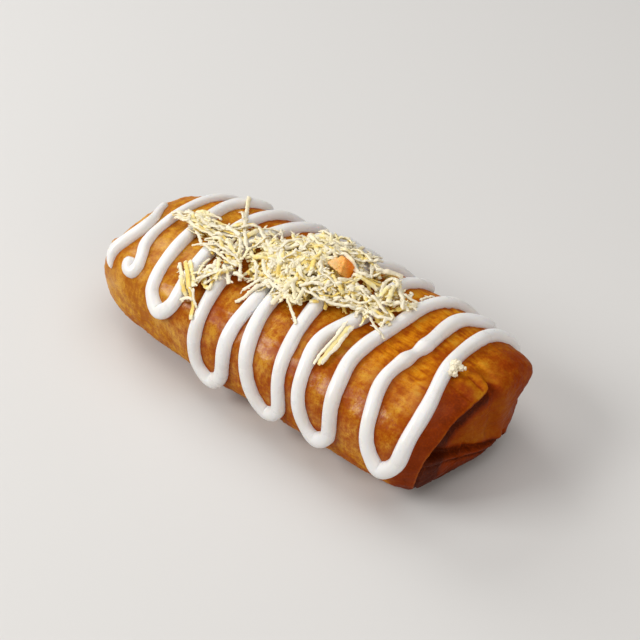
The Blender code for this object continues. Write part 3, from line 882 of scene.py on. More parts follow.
@dataclass
class TortillaRoll:
    """The fried roll: one closed skin with puffs, wrinkles and folded ends."""

    around: int = 400
    left_rings: int = 40
    side_rings: int = 104
    collar_rings: int = 28
    edge_rings: int = 8
    wall_rings: int = 7
    floor_rings: int = 44
    cap_start: float = 66.0
    left_start: float = -62.0
    cap_steps: int = 400
    cap_radius: float = 29.0
    floor_gap: float = 2.4
    front_reach: float = -25.0
    ground_band: float = 0.6

    def reaches(self) -> np.ndarray:
        """Reach of each spoke, once round the section."""
        return np.linspace(-FORM.half_girth, FORM.half_girth, self.around, endpoint=False)

    def cap_profile(self, power: float, start: float) -> tuple[np.ndarray, np.ndarray, np.ndarray]:
        """One end's profile from its side to its middle.

        Args:
            power: How square the end is.
            start: Distance along the roll at which the cap starts.

        Returns:
            Arc length, distance along the roll and share of the section.
        """
        first = (1.0 - (start / FORM.half_length) ** power) ** (1.0 / power)
        outer, inner = np.linspace(first, 0.9, self.cap_steps), np.linspace(0.9, 0.0, self.cap_steps + 1)
        shares = np.concatenate((outer, inner[1:]))
        along = FORM.cap_x(shares, power)
        steps = np.hypot(np.diff(along), np.diff(shares) * self.cap_radius)
        return np.concatenate(((0.0,), np.cumsum(steps))), along, shares

    def left_cap(self) -> list[np.ndarray]:
        """Rings of the tucked end, from its middle to its side.

        Returns:
            Points of each ring.
        """
        arcs, along, shares = self.cap_profile(FORM.left_power, -self.left_start)
        reaches = self.reaches()
        rings = []
        for goal in np.linspace(arcs[-1], 0.0, self.left_rings + 1)[1:-1]:
            x = -np.interp(goal, arcs, along)
            share = np.interp(goal, arcs, shares)
            ring = FORM.skin(np.full_like(reaches, x), reaches, np.full_like(reaches, share))
            rings.append(self.tucked(ring, x))
        return rings

    @staticmethod
    def tucked(ring: np.ndarray, x: float) -> np.ndarray:
        """Press the fold of the tucked end into a ring.

        Args:
            ring: Points of the ring.
            x: Place of the ring along the roll.

        Returns:
            The moved points.
        """
        y, z = ring[:, 1], ring[:, 2]
        border = np.hypot(y / FORM.half_width, (z - FORM.centre_height) / FORM.half_height)
        edge = z - (20.0 - 0.55 * y)
        tuck = rise(edge, 0.0, 1.4) * np.exp(-np.clip(edge, 0.0, None) / 15.0)
        depth = (2.6 * tuck - 0.5 * hump(edge, -1.0, 1.0)) * rise(border, 0.92, 0.6)
        moved = ring.copy()
        moved[:, 0] += depth * rise(-x / FORM.half_length, 0.86, 0.95)
        return moved

    def sides(self) -> list[np.ndarray]:
        """Rings of the roll's length.

        Returns:
            Points of each ring.
        """
        reaches = self.reaches()
        places = np.linspace(self.left_start, self.cap_start, self.side_rings + 1)
        return [FORM.skin(np.full_like(reaches, x), reaches) for x in places]

    def on_cap(self, arc: np.ndarray, profile: tuple) -> np.ndarray:
        """Points of the folded end's full form at given arc lengths, one for each spoke."""
        arcs, along, shares = profile
        return FORM.skin(np.interp(arc, arcs, along), self.reaches(), np.interp(arc, arcs, shares))

    def right_cap(self) -> list[np.ndarray]:
        """Rings of the folded end: collar, its rounded edge, the pocket's wall and the floor.

        Returns:
            Points of each ring.
        """
        profile = self.cap_profile(FORM.right_power, self.cap_start)
        arcs, _along, shares = profile
        reaches = self.reaches()
        strength = FOLDS.lip_strength(reaches)[:, None]
        lip_arc = np.interp(-FOLDS.lip_share(reaches), -shares, arcs)
        edge_end = self.collar_rings + self.edge_rings
        wall_end = edge_end + self.wall_rings
        total = wall_end + self.floor_rings
        rings = []
        lip = self.on_cap(lip_arc, profile)
        inward = self.on_cap(lip_arc + 1.0, profile) - lip
        inward /= np.linalg.norm(inward, axis=1, keepdims=True)
        outward = np.array((1.0, 0.0, 0.0)) - inward * inward[:, :1]
        outward /= np.linalg.norm(outward, axis=1, keepdims=True)
        radius = FOLDS.edge_radius
        under = lip - outward * 2.0 * radius
        bend = under - inward - np.array((1.4, 0.0, 0.0))
        floor_arc = lip_arc + self.floor_gap
        foot = self.floor(self.on_cap(floor_arc, profile))
        for ring in range(1, total):
            even = self.floor(self.on_cap(np.full_like(reaches, arcs[-1] * ring / total), profile))
            if ring <= self.collar_rings:
                free = self.on_cap(lip_arc * ring / self.collar_rings, profile)
            elif ring <= edge_end:
                turn = math.pi * (ring - self.collar_rings) / self.edge_rings
                free = lip + (outward * (math.cos(turn) - 1.0) + inward * math.sin(turn)) * radius
            elif ring <= wall_end:
                part = (ring - edge_end) / self.wall_rings
                free = under * (1.0 - part) ** 2 + bend * 2.0 * part * (1.0 - part) + foot * part ** 2
            else:
                part = (ring - wall_end) / self.floor_rings
                free = self.floor(self.on_cap(floor_arc + (arcs[-1] - floor_arc) * part, profile))
            rings.append(even + (free - even) * strength)
        return rings

    @staticmethod
    def floor(points: np.ndarray) -> np.ndarray:
        """Press the folded end's relief into points of its full form.

        Args:
            points: Points of the full form.

        Returns:
            The moved points.
        """
        y, z = points[:, 1], points[:, 2]
        across = y / FORM.half_width
        high = (z - FORM.centre_height) / FORM.half_height
        power = FORM.section_power
        border = (np.abs(across) ** power + np.abs(high) ** power) ** (1.0 / power)
        inside = rise(points[:, 0] / FORM.half_length, 0.86, 0.95) * rise(border, 0.98, 0.86)
        moved = points.copy()
        moved[:, 0] -= FOLDS.depth(y, z) * inside
        return moved

    def relief(self, points: np.ndarray, arc: np.ndarray, reach: np.ndarray, out: np.ndarray) -> np.ndarray:
        """Fine puffs, wrinkles and puckers of the skin, along its normals.

        Args:
            points: Bare skin points.
            arc: Place of each point along the roll's profile.
            reach: Reach of each point.
            out: Outward normal of each point.

        Returns:
            The moved points.
        """
        lift = np.zeros(len(points))
        for index, (x, y, z) in enumerate(points):
            place = Vector((x * 0.16, y * 0.16, z * 0.16))
            lift[index] = 0.34 * noise.noise(place) + 0.16 * noise.noise(place * 2.7)
            lift[index] += 0.09 * max(noise.noise(place * 5.1 + Vector((3.0, 1.0, 7.0))) - 0.12, 0.0) / 0.3
        zone = rise(arc, 30.0, 44.0) * rise(arc, 76.0, 66.0)
        zone *= rise(reach, -24.0, -10.0) * rise(reach, 34.0, 24.0)
        wander = 1.6 * np.sin(arc * 0.13) + 0.7 * np.sin(arc * 0.41 + 1.0) + 4.0 * lift
        patch = rise(np.sin(arc * 0.33 + reach * 0.21) + np.sin(arc * 0.19 - reach * 0.37 + 2.0), -0.7, 1.3)
        fold = np.sin((reach + wander) * 1.45) + 0.6 * np.sin((reach - wander) * 2.7 + 0.6)
        lift += zone * patch * 0.17 * fold
        pucker = rise(arc, 67.0, 73.0) * rise(arc, 85.0, 77.0)
        lift -= 0.55 * pucker * hump(reach, 0.9, 0.9)
        lift += 0.8 * pucker * hump(reach, 4.4, 2.6) + 0.6 * pucker * hump(reach, -3.0, 2.6)
        lift -= 0.4 * pucker * (hump(reach, 8.6, 0.9) + hump(reach, -6.8, 0.9) + 0.8 * hump(reach, 4.9, 0.5))
        return points + out * lift[:, None]

    def coordinates(self, rings: list[np.ndarray]) -> tuple[np.ndarray, np.ndarray]:
        """Places of all points of the skin, measured on the skin.

        Args:
            rings: Points of each ring, without the tips.

        Returns:
            Arcs along the roll's profile, from its middle, and reaches.
        """
        reaches = self.reaches()
        front = np.argmin(np.abs(reaches - self.front_reach))
        line = np.array([ring[front] for ring in rings])
        length = np.concatenate(((0.0,), np.cumsum(np.linalg.norm(np.diff(line, axis=0), axis=1))))
        arc = np.concatenate(((length[0] - 1.0,), np.repeat(length, self.around), (length[-1] + 1.0,)))
        arc += 0.5 * (self.left_start + self.cap_start) - length[self.left_rings - 1 + self.side_rings // 2]
        return arc, np.concatenate(((0.0,), np.tile(reaches, len(rings)), (0.0,)))

    @staticmethod
    def unwrap(made: bpy.types.Object, arc: np.ndarray, reach: np.ndarray) -> None:
        """Lay the skin out flat in millimetres, cut along the line under the roll.

        Args:
            made: The skin.
            arc: Place of each point along the roll's profile.
            reach: Reach of each point.
        """
        layer = made.data.uv_layers.new(name="skin")
        corner = np.zeros(len(made.data.loops), dtype=np.int64)
        made.data.loops.foreach_get("vertex_index", corner)
        across = reach[corner]
        sizes = [len(face.vertices) for face in made.data.polygons]
        face_of = np.repeat(np.arange(len(sizes)), sizes)
        high = np.zeros(len(sizes))
        np.maximum.at(high, face_of, across)
        cut = (across < -0.9 * FORM.half_girth) & (high[face_of] > 0.5 * FORM.half_girth)
        across[cut] *= -1.0
        layer.data.foreach_set("uv", np.stack((arc[corner], across), axis=1).ravel())

    def build(self, material: Material) -> bpy.types.Object:
        """Make the roll's skin and dress it.

        Args:
            material: Its surface.

        Returns:
            The finished piece.
        """
        rings = self.left_cap() + self.sides() + self.right_cap()
        half, zero = FORM.half_length, np.zeros(1)
        first = self.tucked(FORM.skin(zero - half, zero, zero), -half)
        last = self.floor(FORM.skin(zero + half, zero, zero))
        points = FOLDS.swell(np.vstack([first] + rings + [last]))
        arc, reach = self.coordinates(rings)
        faces = closed_faces(len(rings), self.around)
        draft = mesh_object("skin_draft", points, faces)
        out = np.zeros(points.size)
        draft.data.vertices.foreach_get("normal", out)
        bpy.data.objects.remove(draft)
        moved = self.relief(points, arc, reach, out.reshape(-1, 3))
        moved[:, 2] = np.where(points[:, 2] < self.ground_band, points[:, 2], moved[:, 2])
        made = mesh_object("tortilla_skin", moved, faces)
        self.unwrap(made, arc, reach)
        lip_ring = self.left_rings + self.side_rings + self.collar_rings - 1
        self.colour(made, moved, arc, reach, arc[1 + lip_ring * self.around])
        return dress(made, material, Node.ROLL)

    def colour(self, made: bpy.types.Object, points: np.ndarray, arc: np.ndarray, reach: np.ndarray,
               lip: float) -> None:
        """Store where the skin is yellower, browner, sandy and oiled, and where shade and highlight are
        painted.

        Args:
            made: The skin.
            points: Its points.
            arc: Place of each point along the roll's profile.
            reach: Reach of each point.
            lip: Arc of the wrap's free edge.
        """
        pucker = rise(arc, 66.0, 72.0) * hump(reach, 1.5, 6.5) * rise(arc, lip + 2.0, lip - 1.0)
        golden = rise(arc, 18.0, 40.0) * rise(reach, -34.0, -8.0) * rise(arc, 84.0, 70.0)
        golden *= 1.0 - rise(reach, 6.0, 16.0) * rise(arc, 64.0, 72.0)
        end = rise(arc, 64.0, 78.0)
        browned_and_shaded = self.browning_and_shade(points, arc, lip, end) - 0.7 * pucker
        # Painted shade in the crease beside the pucker at the top of the folded end.
        browned_and_shaded += 0.6 * hump(reach, 0.9, 0.6) * rise(arc, 70.0, 74.0) * rise(arc, lip + 1.0, lip - 1.0)
        oiled = 0.15 + 0.85 * rise(reach, -58.0, -44.0) * rise(reach, -8.0, -22.0)
        left = rise(arc, -18.0, -46.0)
        gaps = np.clip(self.cream_gaps(points), 0.0, None)
        paint(made, "golden", np.maximum(golden, 0.6 * pucker))
        paint(made, "browned_and_shaded", np.clip(browned_and_shaded, 0.0, 2.2))
        paint(made, "calm", np.clip(0.85 * end + rise(arc, lip + 8.0, lip + 16.0), 0.0, 1.0))
        paint(made, "oiled", np.clip(oiled * (1.0 - 0.8 * end), 0.08, 1.0) * rise(points[:, 2], 2.0, 9.0))
        # Painted contact shade on the skin beside the cream strands, weaker towards the left end.
        paint(made, "cream_contact_shade", np.exp(-gaps / 2.0) * (1.0 - 0.6 * left))
        paint(made, "sandy", left * rise(reach, -62.0, -46.0) * rise(reach, 24.0, 8.0))

    @staticmethod
    def browning_and_shade(points: np.ndarray, arc: np.ndarray, lip: float, end: np.ndarray) -> np.ndarray:
        """Browner folded end, darker skin towards the ground, painted shade and highlight at the end.

        Args:
            points: Points of the skin.
            arc: Place of each point along the roll's profile.
            lip: Arc of the wrap's free edge.
            end: How far each point belongs to the folded end.

        Returns:
            One number for each point.
        """
        y, z = points[:, 1], points[:, 2]
        near = rise(y, 6.0, 0.0)
        # Collar before the wrap's free edge: darker red-brown, partly painted shade beside the cream.
        collar = end * near * rise(arc, lip + 0.5, lip - 0.5)
        # Painted highlight: a lighter line along the wrap's free edge.
        rim = hump(arc, lip + 0.3, 2.0) * near
        depth = FOLDS.depth(y, z)
        under = np.clip(-line_distance(y, z, FOLDS.lip_line), 0.0, None)
        over = line_distance(y, z, FOLDS.flap_edge)
        second = line_distance(y, z, FOLDS.second_edge)
        # Painted shade in the deep pocket, in the recess under the wrap's free edge and along the creases of
        # the lower flap.
        band = 1.25 * depth + 2.8 + 4.5 * rise(y, -2.0, -14.0)
        shaded = 0.5 * rise(depth, 3.5, 7.5) * near
        shaded += 1.15 * rise(under, band + 5.0, band - 3.0) * rise(y, 7.0, -3.0)
        shaded += 0.35 * rise(over, 0.8, -2.0) + 0.8 * hump(over, 0.5, 1.1) + 0.6 * hump(second, 0.0, 0.6)
        browned_and_shaded = 0.65 * end + 0.46 * collar - 0.2 * rim * rise(z, 8.0, 26.0)
        browned_and_shaded += 0.25 * end * rise(y, 7.0, 18.0) + rise(arc, lip, lip + 1.5) * shaded
        # Darker towards the ground.
        return browned_and_shaded + (0.35 + 0.3 * end) * rise(z, 10.0 + 4.0 * end, 2.0)

    @staticmethod
    def cream_gaps(points: np.ndarray) -> np.ndarray:
        """Distances to the edge of the nearest strand of cream.

        Args:
            points: Points of the skin.

        Returns:
            One distance for each point, negative under the cream.
        """
        strands = (ROUTE.long_strand(), ROUTE.short_strand())
        centre = np.vstack([FORM.skin(strand[:, 0], strand[:, 1]) for strand in strands])
        tree = kdtree.KDTree(len(centre))
        for index, place in enumerate(centre):
            tree.insert(place, index)
        tree.balance()
        return np.array([tree.find(place)[2] for place in points]) - ROUTE.half_width


@dataclass
class Sweep:
    """Geometry Nodes tree that sweeps a rounded profile along every line of a mesh."""

    name: str
    sides: int = 24
    numbers: tuple = (
        ("Half Width", 0.003), ("Height", 0.0032), ("Root", 0.0013), ("Squareness", 0.75),
        ("Top Squareness", 0.9), ("Rough Size", 0.0), ("Rough Scale", 400.0), ("Tooth Size", 0.0),
        ("Tooth Scale", 900.0),
    )
    labels: dict = field(default_factory=dict)

    def __post_init__(self) -> None:
        """Make the tree with its named inputs."""
        self.tree = bpy.data.node_groups.new(self.name, "GeometryNodeTree")
        self.chain = NodeChain(self.tree)
        self.tree.interface.new_socket("Geometry", in_out="OUTPUT", socket_type="NodeSocketGeometry")
        self.input("Lines", "Geometry")
        for label, value in self.numbers:
            self.input(label, "Float", value)
        self.input("Sides", "Int", self.sides)
        self.input("Material", "Material")
        self.given = self.chain.add("NodeGroupInput").outputs
        self.wire()

    def input(self, label: str, kind: str, value: float | None = None) -> None:
        """Add an input and keep its identifier.

        Args:
            label: Name of the input.
            kind: Kind of its socket.
            value: What it holds at first.
        """
        socket = self.tree.interface.new_socket(label, in_out="INPUT", socket_type="NodeSocket" + kind)
        if value is not None:
            socket.default_value = value
        self.labels[label] = socket.identifier

    def step(self, kind: str, links: dict, **settings: object) -> Socket:
        """First output of a new node."""
        return self.chain.add(kind, links, **settings).outputs[0]

    def attribute(self, name: str, kind: str = "FLOAT") -> Socket:
        """A named attribute of the lines."""
        return self.step("GeometryNodeInputNamedAttribute", {"Name": name}, data_type=kind)

    def power(self, value: Socket, exponent: Socket) -> Socket:
        """Power that keeps the sign of its base."""
        size = self.chain.math("POWER", self.chain.math("ABSOLUTE", value), exponent)
        return self.chain.times(size, self.chain.math("SIGN", value))

    def profile(self) -> Socket:
        """Closed cross-section, squarer or rounder as asked, standing on its root.

        Returns:
            The profile curve, with how far across each point lies stored on it.
        """
        chain, given = self.chain, self.given
        circle = self.step("GeometryNodeCurvePrimitiveCircle", {"Resolution": given["Sides"], "Radius": 1.0})
        place = chain.add("ShaderNodeSeparateXYZ", {0: self.step("GeometryNodeInputPosition", {})}).outputs
        side = self.power(place[0], given["Squareness"])
        up = self.power(place[1], given["Top Squareness"])
        high = chain.times(chain.math("MAXIMUM", up, 0.0), given["Height"])
        low = chain.times(chain.math("MINIMUM", up, 0.0), given["Root"])
        flat = chain.times(side, given["Half Width"])
        for label, value in (("across", chain.math("ABSOLUTE", side)), ("lateral", side)):
            links = {"Geometry": circle, "Name": label, "Value": value}
            circle = self.step("GeometryNodeStoreNamedAttribute", links, data_type="FLOAT", domain="POINT")
        spot = self.step("ShaderNodeCombineXYZ", {0: chain.math("ADD", high, low), 1: flat})
        return self.step("GeometryNodeSetPosition", {"Geometry": circle, "Position": spot})

    def offset(self) -> Socket:
        """Work out how the surface is roughened.

        Returns:
            Grit all over, and teeth along both sides.
        """
        chain, given, vector = self.chain, self.given, "ShaderNodeVectorMath"
        grit = chain.add("ShaderNodeTexNoise", {"Scale": given["Rough Scale"], "Detail": 2.0})
        links = {0: grit.outputs["Color"], 1: (0.5, 0.5, 0.5)}
        centred = self.step(vector, links, operation="SUBTRACT")
        push = self.step(vector, {0: centred, "Scale": given["Rough Size"]}, operation="SCALE")
        torn = chain.add("ShaderNodeTexNoise", {"Scale": given["Tooth Scale"], "Detail": 1.0}).outputs["Fac"]
        bite = chain.times(chain.math("SUBTRACT", torn, 0.5), given["Tooth Size"])
        bite = chain.times(bite, self.attribute("lateral"))
        links = {0: self.attribute("side", "FLOAT_VECTOR"), "Scale": bite}
        edge = self.step(vector, links, operation="SCALE")
        return self.step(vector, {0: push, 1: edge}, operation="ADD")

    def wire(self) -> None:
        """Link the tree: lines to curves, normals, tilt, sweep, roughness, smooth shading."""
        shape = self.step("GeometryNodeMeshToCurve", {"Mesh": self.given["Lines"]})
        links = {"Curve": shape, "Normal": self.attribute("out", "FLOAT_VECTOR")}
        shape = self.step("GeometryNodeSetCurveNormal", links, mode="FREE")
        shape = self.step("GeometryNodeSetCurveTilt", {"Curve": shape, "Tilt": self.attribute("twist")})
        links = {"Curve": shape, "Profile Curve": self.profile(), "Scale": self.attribute("size")}
        shape = self.step("GeometryNodeCurveToMesh", links | {"Fill Caps": True})
        shape = self.step("GeometryNodeSetPosition", {"Geometry": shape, "Offset": self.offset()})
        shape = self.step("GeometryNodeSetShadeSmooth", {"Geometry": shape})
        shape = self.step("GeometryNodeRealizeInstances", {"Geometry": shape})
        shape = self.step("GeometryNodeSetMaterial", {"Geometry": shape, "Material": self.given["Material"]})
        self.chain.add("NodeGroupOutput", {0: shape})

    def run(self, name: str, lines: Lines, material: Material, **sizes: float) -> bpy.types.Object:
        """Sweep the profile along a set of lines and keep the result as a plain mesh.

        Args:
            name: Name of the new piece.
            lines: The lines to follow.
            material: Material of the piece.
            sizes: Values of the named inputs, with _ for a blank, lengths in metres.

        Returns:
            The piece.
        """
        guide = lines.object(name + "_lines")
        step = guide.modifiers.new("sweep", "NODES")
        step.node_group = self.tree
        step[self.labels["Material"]] = material
        for label, value in sizes.items():
            step[self.labels[label.replace("_", " ")]] = value
        graph = bpy.context.evaluated_depsgraph_get()
        mesh = bpy.data.meshes.new_from_object(guide.evaluated_get(graph))
        guide.modifiers.clear()
        bpy.data.objects.remove(guide)
        shape = bmesh.new()
        shape.from_mesh(mesh)
        bmesh.ops.recalc_face_normals(shape, faces=shape.faces)
        shape.to_mesh(mesh)
        shape.free()
        return linked(name, mesh)


@dataclass
class Lines:
    """Open lines with a normal, a size, a twist and a tone at each point."""

    points: list = field(default_factory=list)
    normals: list = field(default_factory=list)
    sizes: list = field(default_factory=list)
    twists: list = field(default_factory=list)
    tones: list = field(default_factory=list)

    def add(self, points: np.ndarray, normals: np.ndarray, sizes: ArrayLike, twists: ArrayLike,
            tones: ArrayLike) -> None:
        """Add one line, in millimetres.

        Args:
            points: Its points.
            normals: Upward direction at each point.
            sizes: Width at each point, as a share of the usual one.
            twists: Turn about the line at each point.
            tones: How pale it is at each point.
        """
        self.points.append(points)
        self.normals.append(normals)
        for rows, values in ((self.sizes, sizes), (self.twists, twists), (self.tones, tones)):
            rows.append(np.broadcast_to(values, len(points)))

    def object(self, name: str) -> bpy.types.Object:
        """Mesh of edges that carries the lines and their attributes.

        Args:
            name: Name of the object.

        Returns:
            The object, linked into the scene.
        """
        edges, start = [], 0
        for line in self.points:
            edges += [(start + step, start + step + 1) for step in range(len(line) - 1)]
            start += len(line)
        mesh = bpy.data.meshes.new(name)
        mesh.from_pydata(((np.vstack(self.points) + CENTRING) * MM).tolist(), edges, [])
        made = linked(name, mesh)
        for label, rows in (("size", self.sizes), ("twist", self.twists), ("tone", self.tones)):
            paint(made, label, np.concatenate(rows))
        pairs = zip(self.points, self.normals)
        sides = np.vstack([np.cross(np.gradient(line, axis=0), out) for line, out in pairs])
        sides /= np.maximum(np.linalg.norm(sides, axis=1, keepdims=True), 1e-9)
        for label, rows in (("out", np.vstack(self.normals)), ("side", sides)):
            layer = mesh.attributes.new(label, "FLOAT_VECTOR", "POINT")
            layer.data.foreach_set("vector", np.ascontiguousarray(rows, dtype=np.float32).ravel())
        return made


@dataclass
class PipedCream:
    """The strands of cream, half round, with rounded ends."""

    end_round: float = 3.2
    unevenness: float = 0.05

    def sizes(self, strand: np.ndarray, tail: bool) -> np.ndarray:
        """Relative width along a strand, from its start.

        Args:
            strand: Places of the strand.
            tail: Whether this is the short strand, which thins out.

        Returns:
            A size for each place.
        """
        gone = np.concatenate(((0.0,), np.cumsum(np.linalg.norm(np.diff(strand, axis=0), axis=1))))
        part = gone / gone[-1]
        size = 1.0 + self.unevenness * np.sin(gone * 0.071) + 0.03 * np.sin(gone * 0.31 + 1.0)
        if tail:
            size = size * (0.6 + 0.36 * rise(part, 0.05, 0.65) - 0.5 * rise(part, 0.82, 1.0))
        else:
            size = size + 0.2 * rise(gone, 14.0, 3.0) - 0.2 * rise(-strand[:, 0], 48.0, 57.0)
            for x, reach, _half in ROUTE.near_turns:
                size = size + 0.2 * hump(np.hypot(strand[:, 0] - x, strand[:, 1] - reach), 0.0, 4.5)
            pinch = np.hypot(strand[:, 0] - 53.8, strand[:, 1] + 5.0)
            size = size - 0.24 * hump(pinch, 0.0, 2.6) + 0.1 * hump(pinch, 5.0, 2.5)
        near = np.clip(np.minimum(gone, gone[-1] - gone) / self.end_round, 0.0, 1.0)
        return size * np.clip(np.sqrt(1.0 - (1.0 - near) ** 2), 0.12, 1.0)

    def build(self, sweep: Sweep, material: Material) -> bpy.types.Object:
        """Make the cream and dress it.

        Args:
            sweep: The sweep along lines.
            material: Its surface.

        Returns:
            The finished piece.
        """
        lines = Lines()
        for strand, tail in ((ROUTE.long_strand(), False), (ROUTE.short_strand(), True)):
            x, reach = strand.T
            lines.add(FORM.skin(x, reach), FORM.normals(x, reach), self.sizes(strand, tail), 0.0, 1.0)
        made = sweep.run("cream_strands", lines, material, Half_Width=ROUTE.half_width * MM,
                         Height=ROUTE.height * MM, Root=ROUTE.root * MM, Squareness=0.8,
                         Top_Squareness=0.95, Rough_Size=0.0001, Rough_Scale=260.0)
        return dress(made, material, Node.ROLL)


HEAP_STRANDS = (
    (1.05, 0.8, ((-59.6, -2.5), (-54.2, -0.2), (-47.6, 0.0), (-40.5, -0.5), (-35.1, 0.0), (-30.0, 0.0))),
    (1.0, 0.75, ((-56.9, -5.0), (-51.8, -4.2), (-45.2, -6.0), (-40.7, -5.8), (-34.8, -6.5), (-24.9, -7.0))),
    (0.95, 0.55, ((-51.5, -2.8), (-45.2, -3.8), (-39.6, -4.2), (-34.2, -4.5), (-29.7, -4.2))),
    (1.0, 0.85, ((-41.0, -12.8), (-36.6, -11.5), (-32.1, -10.0), (-27.3, -10.0), (-21.3, -10.8),
                 (-18.3, -11.8))),
    (0.85, 0.75, ((-36.9, -11.8), (-31.8, -12.0), (-26.7, -12.5), (-22.2, -13.2), (-18.3, -13.5))),
    (0.95, 0.9, ((-29.7, 0.2), (-25.8, -3.8), (-22.8, -7.5), (-19.2, -11.0), (-16.2, -14.2), (-13.8, -17.0))),
    (1.0, 0.95, ((-17.4, -16.2), (-15.3, -16.0), (-13.2, -16.0))),
    (1.2, 0.85, ((-48.2, 26.5), (-43.1, 19.2), (-38.7, 13.2), (-34.8, 8.8), (-30.9, 4.2))),
    (0.6, 0.8, ((-44.0, 17.0), (-39.0, 12.0), (-35.1, 8.2))),
    (0.95, 0.8, ((-32.7, 0.5), (-31.5, 3.5), (-30.0, 6.2), (-27.3, 7.8))),
    (1.0, 0.9, ((-26.7, 7.0), (-22.2, 4.2), (-17.7, 1.2), (-13.8, -1.5), (-10.8, -4.0))),
    (0.9, 0.75, ((-30.6, 3.8), (-27.3, 0.2), (-23.1, -3.5), (-18.6, -6.0), (-14.1, -8.8), (-11.7, -10.5))),
    (0.9, 0.7, ((-19.8, 4.8), (-19.8, 0.2), (-20.4, -3.8), (-19.8, -7.5), (-18.6, -11.2))),
    (0.65, 0.8, ((-22.5, 13.8), (-18.9, 10.5), (-15.9, 6.8), (-12.9, 4.2))),
    (0.9, 0.85, ((-10.2, -2.5), (-10.8, 2.0), (-10.8, 6.5), (-9.3, 9.8))),
    (0.9, 0.8, ((-9.9, 6.8), (-10.2, 12.0), (-9.3, 16.2), (-7.5, 19.8))),
    (1.2, 0.95, ((-9.0, 13.8), (-3.9, 11.5), (0.6, 9.5), (3.3, 9.0))),
    (0.7, 0.75, ((-5.1, 19.5), (0.3, 17.2), (5.7, 15.2))),
    (0.95, 0.8, ((-12.6, -10.2), (-9.3, -13.2), (-7.8, -15.5))),
    (0.9, 0.75, ((-12.0, -7.2), (-7.8, -10.5), (-3.9, -11.8), (-2.4, -11.2))),
    (0.95, 0.85, ((-10.2, -24.0), (-7.8, -21.5), (-6.6, -18.5), (-4.8, -15.2), (-2.7, -12.8))),
    (0.85, 0.8, ((-9.9, -19.8), (-7.8, -17.2), (-6.3, -14.2))),
    (0.75, 0.95, ((0.3, -12.8), (4.5, -14.0), (9.0, -16.5), (12.9, -18.8), (16.2, -21.0))),
    (1.0, 0.95, ((-3.9, -13.0), (1.5, -13.8), (6.6, -14.5), (9.9, -15.2))),
    (0.9, 0.85, ((11.1, -15.8), (10.2, -12.0), (8.4, -8.0))),
    (1.15, 0.85, ((8.4, -9.2), (13.5, -9.2), (18.3, -9.0), (22.5, -7.5), (27.9, -4.8))),
    (0.95, 0.7, ((-8.4, -6.0), (-3.0, -10.5), (1.5, -13.0))),
    (0.95, 0.7, ((-9.0, 0.0), (-3.9, -2.2), (0.3, -5.0))),
    (1.0, 0.6, ((-2.1, 2.5), (-1.8, -2.2), (-0.6, -7.0))),
    (0.95, 0.7, ((-0.6, 6.2), (3.9, 2.0), (5.7, -2.8))),
    (1.05, 0.75, ((0.6, -6.0), (5.1, -5.5), (8.7, -3.5))),
    (0.95, 0.8, ((6.9, -9.0), (9.0, -6.0), (12.9, -4.2))),
    (0.95, 0.8, ((-2.1, -10.5), (2.1, -11.2), (5.1, -10.2))),
    (1.0, 0.45, ((4.8, 17.2), (6.6, 19.5), (9.9, 19.8), (13.8, 18.8), (15.6, 18.0))),
    (1.1, 0.25, ((6.0, 17.8), (8.7, 17.5), (11.4, 17.8), (13.8, 18.5))),
    (0.8, 0.85, ((13.2, 21.8), (17.1, 16.5), (21.0, 12.0))),
    (0.95, 0.8, ((10.8, 13.8), (13.5, 15.5), (15.6, 18.5), (17.4, 22.2))),
    (0.95, 0.8, ((29.1, 8.0), (26.4, 11.8), (25.2, 16.0), (26.7, 17.5), (30.3, 15.8), (34.2, 11.5),
                 (42.2, 6.0))),
    (0.95, 0.6, ((26.1, 17.8), (30.3, 14.8), (31.5, 11.0), (32.7, 7.5))),
    (1.3, 0.3, ((30.6, 11.8), (33.0, 7.8), (35.4, 3.8))),
    (1.1, 0.4, ((30.6, 3.8), (30.6, 7.0), (30.3, 10.8))),
    (0.7, 0.8, ((34.2, 17.2), (36.6, 15.0), (37.5, 12.5))),
    (0.8, 0.6, ((35.1, 12.2), (37.8, 12.2), (40.5, 13.5))),
    (0.7, 0.8, ((39.6, 16.0), (39.6, 18.8), (40.2, 23.2))),
    (1.1, 0.85, ((23.1, -6.5), (27.9, -4.8), (31.5, -3.0), (36.0, -2.8), (40.7, -0.5))),
    (0.9, 0.7, ((22.8, -6.2), (24.6, -2.8), (28.2, -1.5), (30.0, 2.2))),
    (0.8, 0.9, ((34.5, -4.8), (38.1, -6.2), (40.7, -7.0), (43.4, -8.0))),
    (0.75, 0.85, ((40.2, 0.2), (39.3, -2.2), (40.2, -5.5))),
    (0.95, 0.9, ((20.7, 4.2), (24.9, 3.2), (29.7, 2.0))),
    (0.75, 0.85, ((19.2, 0.2), (19.8, -4.0), (19.5, -7.5), (18.9, -8.8))),
    (1.0, 0.35, ((16.8, 6.8), (20.7, 7.5), (24.9, 8.8), (26.7, 8.5))),
    (0.95, 0.65, ((28.8, 3.0), (31.8, 2.5), (35.7, 1.0), (37.8, 0.8))),
    (0.85, 0.75, ((21.6, -2.8), (21.3, 0.0), (24.6, 2.0))),
    (0.9, 0.8, ((9.3, -1.0), (12.6, -1.2), (15.6, -1.5), (17.4, 0.0))),
    (1.05, 0.95, ((-26.0, -25.0), (-25.5, -22.0), (-26.0, -19.0), (-23.6, -18.2))),
    (0.95, 0.9, ((-25.5, -20.0), (-22.2, -20.8), (-22.2, -23.8))),
    (0.95, 0.8, ((-23.1, -15.5), (-19.2, -17.5), (-15.5, -20.5))),
)
ARC_STRANDS = (
    (1.1, 1.0, ((7.0, 1.0), (5.2, 4.2), (4.4, 8.0), (6.0, 11.2), (9.5, 12.0), (13.5, 10.5), (17.8, 8.6),
                (22.2, 11.0))),
)
